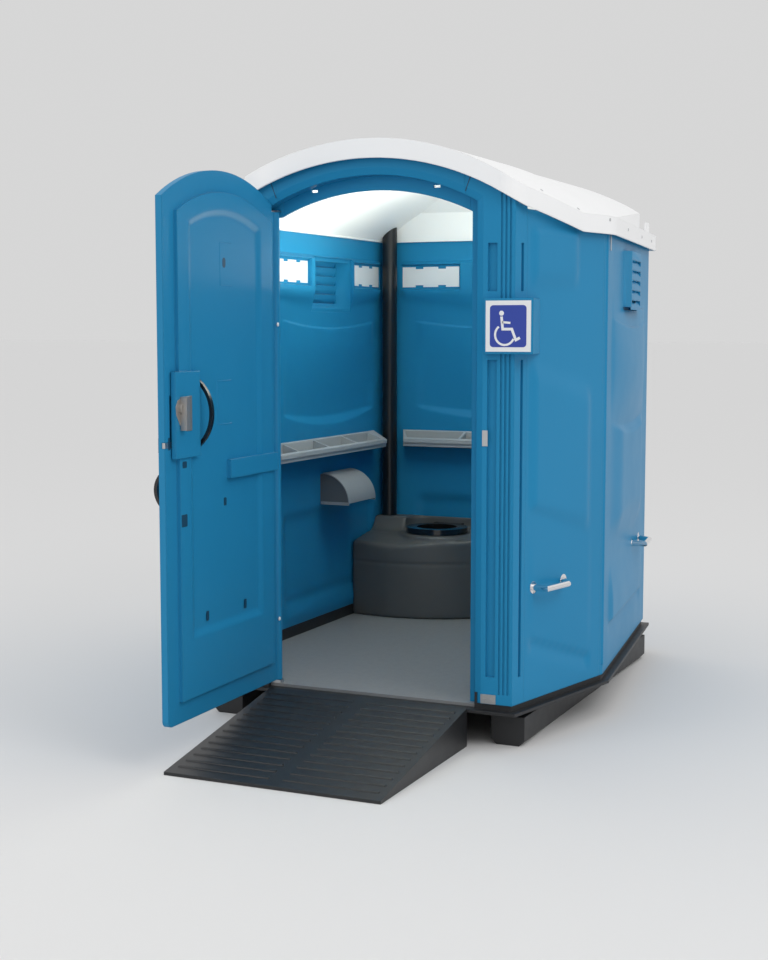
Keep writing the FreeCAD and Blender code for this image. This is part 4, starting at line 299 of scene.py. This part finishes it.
def bulge_outside(u, z, left, right):
    """How far the bulged wall stands out: pillow, ledge, field, lower slope, foot and groove."""
    c, edge = crown(u, left, right)
    smile, ledge_high, ledge_low = bulge_levels(c)
    full = c ** 0.7
    if z > smile:
        return full * (17 * (1 - smooth(smile, smile + 120, z)) + 13 * (1 - smooth(smile, smile + 12, z)))
    if z > ledge_high:
        share = (z - ledge_high) / (smile - ledge_high)
        return full * (6 + 24 * share + 19 * math.sin(math.pi * share))
    soft = smooth(1.0, 0.55, abs(2 * u - left - right) / (right - left))
    if z > ledge_low:
        share = (ledge_high - z) / (ledge_high - ledge_low)
        return full * 6 * (1 - share) + 26 * soft * share
    if z > FIELD_LOW:
        share = min(1.0, max(0.0, (762 + 66 * c - z) / (24 + 120 * c)))
        return soft * (26 - 24 * share)
    if z > GROOVE_HIGH:
        return soft * 2 + edge * 15 * smooth(FIELD_LOW, 430, z)
    if z > GROOVE_LOW:
        return soft * 2 + edge * (15 - 21 * smooth(GROOVE_HIGH, GROOVE_LOW + 2, z))
    return -6 * edge * (1 - smooth(GROOVE_LOW, 290, z))


def bulge_inside(u, z, left, right, pockets):
    """How far the bulged wall stands into the cabin: band, pillow, ledge and lower slopes."""
    c, edge = crown(u, left, right)
    smile, ledge_high, ledge_low = bulge_levels(c)
    if POCKET_LOW < z < POCKET_HIGH and any(low < u < high for low, high in pockets):
        return 0.0
    ends = smooth(left - 75, left - 50, u) * (1 - smooth(right + 50, right + 75, u))
    if z > BAND_LOW:
        return 20 * ends * (1 - smooth(BAND_HIGH, BAND_END, z))
    if z > smile:
        band = 20 * ends * (1 - smooth(BAND_LOW, 1742 - 62 * c, z))
        return band + edge * 7 * (1 - smooth(smile, smile + 7, z))
    if z > ledge_high:
        share = (z - ledge_high) / (smile - ledge_high)
        return edge * (7 * smooth(0.55, 1.0, share) - 24 * c ** 0.6 * (1 - smooth(0.0, 0.8, share)))
    if z > ledge_low:
        return -24 * edge * c ** 0.6 * (z - ledge_low) / (ledge_high - ledge_low)
    if z > FIELD_LOW:
        return -15 * edge * smooth(758, 700, z)
    if z > GROOVE_LOW + 2:
        return edge * (-15 + 9 * smooth(FIELD_LOW, 380, z))
    sill = -6 - 6 * smooth(GROOVE_LOW + 2, 344, z) + 18 * smooth(340, 255, z)
    return edge * sill * (1 - smooth(240, 212, z))


def wall_inside(place, u, z, relief):
    """A point of a wall's inner side, which leaves room for the curb below its top."""
    return place(u, z, CURB_GAP if z < CURB_TOP - 0.05 else WALL_THICK + relief)


def make_bulged(name, node, start, end, posts, margin, vent=None, pockets=()):
    """A bulged wall panel in place of its solid; the vent stays as cut out of that solid."""
    length, place = wall_place(start, end)
    low_u, high_u = posts[0], length - posts[1]
    left, right = low_u + margin, high_u - margin
    extra_u = [left, right]
    for low, high in pockets:
        extra_u += [low - 5, low + 0.1, high - 0.1, high + 5]
    hole = None
    if vent is not None:
        middle_u = vent if vent > 0 else length + vent
        hole = (middle_u - VENT_HALF, middle_u + VENT_HALF, VENT_LOW, VENT_HIGH)
        extra_u += list(hole[:2])
    extra_z = [CURB_TOP - 0.1, CURB_TOP, GROOVE_LOW, GROOVE_HIGH, VENT_LOW, BAND_LOW, 1810,
               POCKET_LOW + 0.1, POCKET_HIGH - 0.1, 1940, VENT_HIGH, BAND_END]
    extra_z += [1145 + 6 * k for k in range(13)] + [1604 + 5 * k for k in range(11)]
    us, zs = lines(low_u, high_u, 18, extra_u), lines(WALL_FOOT, WALL_TOP, 18, extra_z)

    def ends(u):
        return smooth(low_u, low_u + 8, u) * (1 - smooth(high_u - 8, high_u, u))

    def outside(u, z):
        return place(u, z, -bulge_outside(u, z, left, right) * ends(u))

    def inside(u, z):
        return wall_inside(place, u, z, bulge_inside(u, z, left, right, pockets) * ends(u))

    def keep(u, z):
        return hole is None or not (hole[0] < u < hole[1] and hole[2] < z < hole[3])

    panel = add_piece(name, slab_mesh(us, zs, outside, inside, keep), blue, "cabin")
    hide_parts(node)
    if hole is not None:
        add_vent(name + "_vent", node, place, hole)


def add_vent(name, node, place, hole):
    """The vent box, cut out of the wall's solid along the edges of the hole left for it."""
    mesh = bmesh.new()
    mesh.from_mesh(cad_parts[node].data)
    bmesh.ops.remove_doubles(mesh, verts=mesh.verts, dist=1e-5)
    middle = place((hole[0] + hole[1]) / 2, (hole[2] + hole[3]) / 2, 0)
    for corner in (place(hole[0], hole[2], 0), place(hole[1], hole[3], 0)):
        for axis in (place(1, 0, 0) - place(0, 0, 0), Vector((0, 0, 1))):
            away = axis if (corner - middle).dot(axis) > 0 else -axis
            everything = mesh.verts[:] + mesh.edges[:] + mesh.faces[:]
            bmesh.ops.bisect_plane(mesh, geom=everything, dist=1e-6, plane_co=corner, plane_no=away,
                                   clear_outer=True)
    box = add_piece(name, mesh, blue, "cabin", sharp=25.0)
    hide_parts(node)


def flat_outside(u, z, left, right):
    """The front side panel: an upper block, a sloping field below a diagonal slope, and a groove."""
    drop = DIAGONAL_FALL * (u - left) / (right - left)
    side = smooth(left - 12, left + 10, u)
    upper = (side * (1 - smooth(right - 205, right - 150, u))
             * smooth(1745, 1835, z) * (1 - smooth(1970, 1995, z)))
    far = 1 - smooth(right - 100, right - 42, u)
    field = (side * far * (1 - smooth(1400 - drop, 1505 - drop, z))
             * smooth(905 - drop * 1.3, 945 - drop * 0.85, z))
    foot = side * (1 - smooth(right - 60, right - 30, u))
    sill = 404 - drop * 1.25
    lower = foot * smooth(sill - 70, sill - 8, z) * (1 - smooth(sill - 2, sill + 14, z))
    swell = foot * smooth(sill, sill + 160, z) * (1 - smooth(600, 900, z))
    return 12 * upper + 14 * field - 9 * lower + 3 * swell


def make_flat(name, node, start, end, posts, mirrored):
    """A front side panel in place of its solid."""
    length, place = wall_place(start, end)
    low_u, high_u = posts[0], length - posts[1]
    left, right = low_u + 45, high_u - 45
    us = lines(low_u, high_u, 15, (left, right))
    zs = lines(WALL_FOOT, WALL_TOP, 15, (CURB_TOP - 0.1, CURB_TOP, BAND_LOW, 1940, BAND_END))

    def outside(u, z):
        along = low_u + high_u - u if mirrored else u
        return place(u, z, -flat_outside(along, z, left, right))

    def inside(u, z):
        ends = smooth(low_u, low_u + 30, u) * (1 - smooth(high_u - 30, high_u, u))
        band = (1 - smooth(BAND_HIGH, BAND_END, z)) * smooth(1740, BAND_LOW, z)
        return wall_inside(place, u, z, 14 * ends * band)

    mesh = slab_mesh(us, zs, outside, inside, lambda u, z: True)
    panel = add_piece(name, mesh, blue, "cabin")
    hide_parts(node)


make_bulged("wall_rear_right", "side_panel_rear_right", "seam_right", "rear_right",
            (SEAM_POST, REAR_POST), 105, vent=VENT_PLACE)
make_bulged("wall_rear_left", "side_panel_rear_left", "rear_left", "seam_left",
            (REAR_POST, SEAM_POST), 105, vent=-VENT_PLACE, pockets=((90, 421), (901, 1232)))
make_bulged("wall_back", "rear_panel", "rear_right", "rear_left",
            (REAR_POST, REAR_POST), 160, pockets=((973, 1304),))
make_flat("wall_front_right", "side_panel_front_right", "front_right", "seam_right",
          (FRONT_POST, SEAM_POST), False)
make_flat("wall_front_left", "side_panel_front_left", "seam_left", "front_left",
          (SEAM_POST, FRONT_POST), True)

# Waste tank

def soften(node, voxel, rounds):
    """The node's solid with all its edges rounded, as a blow-moulded body has them."""
    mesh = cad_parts[node].data.copy()
    obj = bpy.data.objects.new(node + "_soft", mesh)
    bpy.context.collection.objects.link(obj)
    fine = obj.modifiers.new("fine", "REMESH")
    fine.mode = "VOXEL"
    fine.voxel_size = voxel
    rounding = obj.modifiers.new("rounding", "SMOOTH")
    rounding.factor = 0.5
    rounding.iterations = rounds
    bpy.context.view_layer.update()
    done = bpy.data.meshes.new_from_object(obj.evaluated_get(bpy.context.evaluated_depsgraph_get()))
    bpy.data.objects.remove(obj)
    soft = bmesh.new()
    soft.from_mesh(done)
    return soft


# The groove round the tank: its height, half its width and its depth, in metres
TANK_GROOVE, TANK_GROOVE_HALF, TANK_GROOVE_DEEP = 0.433, 0.006, 0.003

tank = soften("waste_tank", 0.008, 12)
tank.normal_update()
for vert in tank.verts:
    groove = math.exp(-((vert.co.z - TANK_GROOVE) / TANK_GROOVE_HALF) ** 2) * (1 - abs(vert.normal.z))
    vert.co -= vert.normal * TANK_GROOVE_DEEP * groove
tank_piece = add_piece("waste_tank_body", tank, tank_grey, "cabin", sharp=80.0)
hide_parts("waste_tank")

# Door

# How far the leaf stands open, its hinge line, and its inner face from that line
SWING = math.radians(88.8)
HINGE_X, HINGE_Y = -431.5, 38.5
LEAF_FACE = 20

# The leaf's sunk field: its sides from the hinge line, its foot, its top and the top's rise,
# then the hem around it and the depth of its floor
FIELD_LEFT, FIELD_RIGHT, FIELD_FOOT, FIELD_TOP, FIELD_RISE = 155, 720.5, 469, 2054, 60
FIELD_HALF = (FIELD_RIGHT - FIELD_LEFT) / 2
FIELD_MIDDLE = (FIELD_LEFT + FIELD_RIGHT) / 2
FIELD_RADIUS = (FIELD_HALF ** 2 + FIELD_RISE ** 2) / (2 * FIELD_RISE)
FIELD_HEM = 6
FIELD_FLOOR = -9.4


def on_door(x, z, depth):
    """A point of the open leaf: along from the hinge line, up, and out of its inner face's plane."""
    y = LEAF_FACE + depth
    return at(HINGE_X + x * math.cos(SWING) + y * math.sin(SWING),
              HINGE_Y - x * math.sin(SWING) + y * math.cos(SWING), z)


def field_top(x):
    """The height of the field's arched top."""
    reach = min(FIELD_HALF, abs(x - FIELD_MIDDLE))
    return FIELD_TOP - FIELD_RADIUS + math.sqrt(FIELD_RADIUS ** 2 - reach ** 2)


def field_inset(x, z):
    """How far a point of the leaf lies inside its sunk field's edge."""
    return min(x - FIELD_LEFT, FIELD_RIGHT - x, z - FIELD_FOOT, field_top(x) - z)


def door_grid(depth):
    """Points of the leaf over its sunk field and a hem around it, from shares of the field's height."""
    def point(x, share):
        low, high = FIELD_FOOT - FIELD_HEM, field_top(x) + FIELD_HEM
        z = low + (high - low) * share
        return on_door(x, z, depth(field_inset(x, z)))
    return point


skin = slab_mesh(lines(FIELD_LEFT - FIELD_HEM, FIELD_RIGHT + FIELD_HEM, 8, (FIELD_LEFT, FIELD_RIGHT)),
                 lines(0, 1, 1 / 190),
                 door_grid(lambda inset: 0.4 - (9.6 * smooth(0, 34, inset) if inset > 0 else 0)),
                 door_grid(lambda inset: -9.9 if inset > 1 else 0.1), lambda x, share: True)
add_piece("door_field", skin, field_blue, "door", sharp=50.0)


def door_ridge(name, points):
    """A thin raised line of the moulding, along points of the leaf's field."""
    width, rise = 2.2, 1.6
    mesh = bmesh.new()
    rows = []
    for k, (x, z) in enumerate(points):
        before = Vector(points[max(0, k - 1)])
        after = Vector(points[min(len(points) - 1, k + 1)])
        way = (after - before).normalized()
        side = Vector((-way.y, way.x)) * width
        rows.append([mesh.verts.new(on_door(x + side.x * w, z + side.y * w, FIELD_FLOOR + rise * h))
                     for w, h in ((-1, 0), (-0.5, 0.8), (0, 1), (0.5, 0.8), (1, 0))])
    for one, two in zip(rows, rows[1:]):
        for k in range(4):
            mesh.faces.new([one[k], one[k + 1], two[k + 1], two[k]])
        mesh.faces.new([one[0], one[4], two[4], two[0]])
    for row in (rows[0], rows[-1]):
        mesh.faces.new(row)
    bmesh.ops.recalc_face_normals(mesh, faces=mesh.faces)
    add_piece(name, mesh, field_blue, "door")


door_ridge("door_frame_mark", ((383, 1928), (471, 1928), (471, 1768), (383, 1768)))
door_ridge("door_plate_mark", ((392, 1248), (502, 1248), (502, 1412), (392, 1412)))


def door_mark(name, left, low, right, high, radius, base):
    """A slot of the leaf, drawn as a flat dark patch: painted shade where its hollow is."""
    outline = rounded_rect(left, low, right, high, radius)
    mesh = plate_mesh(outline, lambda x, z, d: on_door(x, z, base - d), 1.2)
    add_piece(name, mesh, slot_shade_and_seam_blue, "door")


# Flat dark patches of painted shade where the leaf's holes and slots are
door_mark("door_hole_high", 428, 1834, 452, 1872, 11.9, FIELD_FLOOR + 0.5)
door_mark("door_slot_middle", 437, 938, 459, 968, 4, FIELD_FLOOR + 0.5)
door_mark("door_slot_low_far", 588, 520, 606, 556, 4, FIELD_FLOOR + 4.5)
door_mark("door_slot_low_near", 290, 518, 308, 554, 4, FIELD_FLOOR + 4.5)
door_mark("door_slot_side", 748, 893, 788, 938, 4, 0.5)
door_mark("door_slot_pad", 748, 1106, 778, 1130, 4, 0.5)
door_mark("door_slot_latch", 838, 1176, 853, 1220, 3, -13.5)
latch_outline = [(722, 1240), (760, 1240), (762, 1262), (806, 1262), (832, 1300), (836, 1330), (822, 1352),
                 (790, 1364), (722, 1366)]
mesh = plate_mesh(latch_outline, lambda x, z, d: on_door(x, z, 10.2 - d), 2.0)
bmesh.ops.bevel(mesh, geom=mesh.edges[:], offset=0.0006, segments=2, affect="EDGES")
add_piece("latch_back_plate", mesh, latch_grey, "door")


def dome_mesh(place, radius, rise):
    """A low round head: place(x, z, out) gives its points."""
    sides = 20
    mesh = bmesh.new()
    rings = []
    for share, out in ((1, 0), (1, 0.45), (0.85, 0.75), (0.5, 0.95)):
        reach = radius * share
        rings.append([mesh.verts.new(place(reach * math.cos(2 * math.pi * k / sides),
                                           reach * math.sin(2 * math.pi * k / sides), rise * out))
                      for k in range(sides)])
    for one, two in zip(rings, rings[1:]):
        for k in range(sides):
            mesh.faces.new([one[k], one[(k + 1) % sides], two[(k + 1) % sides], two[k]])
    mesh.faces.new(rings[-1])
    mesh.faces.new(rings[0])
    bmesh.ops.recalc_face_normals(mesh, faces=mesh.faces)
    return mesh


for label, x, z in (("high", 14, 1624), ("low", 16, 427)):
    head = dome_mesh(lambda a, b, out: on_door(x + a, z + b, out - 1), 8, 4)
    add_piece("door_rivet_" + label, head, plate_white, "door")

# Paper holder's cover: its moulded skin, round the hinge line

COVER_AXIS, COVER_LEVEL, COVER_RADIUS = -807, 765, 146


def on_cover(turn, y, out):
    """A point of the closed cover, by its turn round the hinge line."""
    radius = COVER_RADIUS + out
    return at(COVER_AXIS + radius * math.cos(turn), y, COVER_LEVEL + radius * math.sin(turn))


skin = slab_mesh(lines(0.016, 1.528, 0.03), lines(1207.5, 1516.5, 8),
                 lambda turn, y: on_cover(turn, y, 0.5), lambda turn, y: on_cover(turn, y, -0.6),
                 lambda turn, y: True)
add_piece("paper_cover_skin", skin, cover_grey, "cover", sharp=50.0)

# Access sign: its lower left corner, and how far the blue field stands out

SIGN_LEFT, SIGN_FACE, SIGN_LOW = 497, -28.1, 1521
SIGN_FIELD = 0.6


def on_sign(x, z, out):
    """A point of the sign, in millimetres from its lower left corner and out of its face."""
    return at(SIGN_LEFT + x, SIGN_FACE - out, SIGN_LOW + z)


field = plate_mesh(rounded_rect(17, 17, 161, 173, 13),
                   lambda x, z, d: on_sign(x, z, SIGN_FIELD - d), SIGN_FIELD)
add_piece("sign_field", field, sign_blue, "cabin")


def stroke(name, points, width):
    """A line of the sign's figure with mitred corners, standing on the blue field."""
    left_side, right_side = [], []
    for k, point in enumerate(points):
        here = Vector(point)
        before = (here - Vector(points[k - 1])).normalized() if k else None
        after = (Vector(points[k + 1]) - here).normalized() if k < len(points) - 1 else None
        before, after = before or after, after or before
        middle = (before + after).normalized()
        side = Vector((-middle.y, middle.x))
        reach = width / 2 / max(0.4, side.dot(Vector((-before.y, before.x))))
        left_side.append(here + side * reach)
        right_side.append(here - side * reach)
    mesh = bmesh.new()
    rows = []
    for a, b in zip(left_side, right_side):
        rows.append([mesh.verts.new(on_sign(p.x, p.y, out)) for p in (a, b) for out in (SIGN_FIELD, 1.3)])
    for one, two in zip(rows, rows[1:]):
        for a, b in ((0, 1), (1, 3), (3, 2), (2, 0)):
            mesh.faces.new([one[a], one[b], two[b], two[a]])
    for row in (rows[0], rows[-1]):
        mesh.faces.new([row[0], row[1], row[3], row[2]])
    bmesh.ops.recalc_face_normals(mesh, faces=mesh.faces)
    add_piece(name, mesh, plate_white, "cabin")


head = dome_mesh(lambda a, b, out: on_sign(63 + a, 143 + b, SIGN_FIELD + out), 9.5, 0.8)
add_piece("sign_head", head, plate_white, "cabin")
stroke("sign_body", [(63, 131), (68, 84), (104, 84), (120, 44), (136, 52)], 10)
stroke("sign_arm", [(66, 110), (98, 107)], 8)
WHEEL_X, WHEEL_Z, WHEEL_RADIUS = 76, 63, 38
turns = [math.radians(degrees) for degrees in range(128, 340, 8)]
stroke("sign_wheel", [(WHEEL_X + WHEEL_RADIUS * math.cos(turn), WHEEL_Z + WHEEL_RADIUS * math.sin(turn))
                      for turn in turns], 8)

# Small fittings

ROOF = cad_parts["roof_shell"]


def roof_screw(name, side, y, z):
    """A screw head on the roof's rim, where a line from the side meets it."""
    start = Vector((side * 1.2, y / 1000 + SHIFT_Y, z / 1000))
    found, spot, normal, _ = ROOF.ray_cast(start, Vector((-side, 0, 0)))
    if not found:
        return
    across = normal.cross(Vector((0, 0, 1))).normalized()
    up = across.cross(normal).normalized()
    head = dome_mesh(lambda a, b, out: spot + (across * a + up * b + normal * (out - 0.8)) / 1000, 7, 3.5)
    add_piece(name, head, steel, "cabin")


SCREWS = ((180, 2130), (420, 2075), (640, 2045), (1050, 2030), (1500, 2025), (1850, 2025))
for number, (y, z) in enumerate(SCREWS, start=1):
    roof_screw("roof_screw_right_%d" % number, 1, y, z)
    roof_screw("roof_screw_left_%d" % number, -1, y, z)


def wall_strip(name, start, end, along):
    """A steel strip with rounded ends outside on a wall, measured from its start or back from its end."""
    length, place = wall_place(start, end)
    u = along if along > 0 else length + along
    outline = rounded_rect(u - 8, 1927, u + 8, 2018, 5)
    mesh = plate_mesh(outline, lambda a, z, d: place(a, z, d - 3.0), 3.2)
    add_piece(name, mesh, steel, "cabin")


wall_strip("seam_strip_right", "seam_right", "rear_right", 66)
wall_strip("seam_strip_left", "rear_left", "seam_left", -66)


def front_seam(name, x_low, z_low, x_high, z_high):
    """A joint line across the arched header, as a narrow dark strip."""
    run = Vector((x_high - x_low, z_high - z_low)).normalized()
    side = Vector((-run.y, run.x)) * 1.6
    corners = [(x_low - side.x, z_low - side.y), (x_low + side.x, z_low + side.y),
               (x_high + side.x, z_high + side.y), (x_high - side.x, z_high - side.y)]
    mesh = plate_mesh(corners, lambda x, z, d: at(x, d - 0.5, z), 0.7)
    add_piece(name, mesh, slot_shade_and_seam_blue, "cabin")


front_seam("header_seam_right", 402, 2122, 425, 2182)
front_seam("header_seam_left", -402, 2122, -425, 2182)

# Stage, lights and camera

def add_stage():
    """A wide pale floor, as bright as the world's horizon."""
    bpy.ops.mesh.primitive_plane_add(size=400, location=(0, 0, 0))
    floor = bpy.context.object
    floor.name = "studio_floor"
    mat = new_material("studio_floor", (0.715, 0.715, 0.715), rough=0.95)
    floor.data.materials.append(mat)


def area_light(name, place, aim, size, power, color=(1, 1, 1)):
    """A soft round lamp that doesn't show itself."""
    data = bpy.data.lights.new(name, "AREA")
    data.shape = "DISK"
    data.size = size
    data.energy = power
    data.color = color
    lamp = bpy.data.objects.new(name, data)
    bpy.context.collection.objects.link(lamp)
    lamp.location = place
    lamp.visible_camera = False
    lamp.rotation_euler = (Vector(aim) - Vector(place)).to_track_quat("-Z", "Y").to_euler()


def add_world():
    """Plain soft light all round, a little brighter from above."""
    world = bpy.data.worlds.new("studio")
    bpy.context.scene.world = world
    world.use_nodes = True
    nodes, links = world.node_tree.nodes, world.node_tree.links
    way = nodes.new("ShaderNodeTexCoord")
    parts = nodes.new("ShaderNodeSeparateXYZ")
    ramp = nodes.new("ShaderNodeValToRGB")
    low, high = ramp.color_ramp.elements
    low.position, low.color = 0.24, (0.676, 0.676, 0.676, 1)
    high.position, high.color = 0.75, (1.0, 1.0, 1.0, 1)
    links.new(way.outputs["Generated"], parts.inputs["Vector"])
    links.new(parts.outputs["Z"], ramp.inputs["Fac"])
    links.new(ramp.outputs["Color"], nodes["Background"].inputs["Color"])
    nodes["Background"].inputs["Strength"].default_value = 1.0


add_stage()
add_world()
area_light("key", (6.5, -3.5, 6.5), (0, 0, 1.0), 4.0, 130)
area_light("fill", (-5.0, -6.0, 4.0), (0, 0, 1.0), 5.0, 60)
area_light("inside", (-0.05, 0.35, 1.98), (-0.05, 0.35, 0), 0.8, 3, (1.0, 1.0, 0.88))
area_light("ceiling", (-0.05, 0.30, 1.75), (-0.05, 0.30, 3.0), 1.1, 14, (1.0, 1.0, 0.86))

# The camera fitted to the photograph: its focal length in pixels of a frame 768 wide, its turns and place
FOCAL_PIXELS, FRAME_PIXELS, SENSOR = 1550.4, 768, 36

camera_data = bpy.data.cameras.new("camera")
camera_data.sensor_fit = "HORIZONTAL"
camera_data.sensor_width = SENSOR
camera_data.lens = FOCAL_PIXELS / FRAME_PIXELS * SENSOR
camera = bpy.data.objects.new("camera", camera_data)
bpy.context.collection.objects.link(camera)
yaw = math.radians(24.1884)
pitch = math.radians(5.5135)
camera.location = (2.541 + SHIFT_X, -5.508 + SHIFT_Y, 1.6005)
level = math.cos(pitch)
forward = Vector((-math.sin(yaw) * level, math.cos(yaw) * level, -math.sin(pitch)))
camera.rotation_euler = forward.to_track_quat("-Z", "Y").to_euler()
bpy.context.scene.camera = camera

bpy.context.scene.view_settings.view_transform = "Standard"
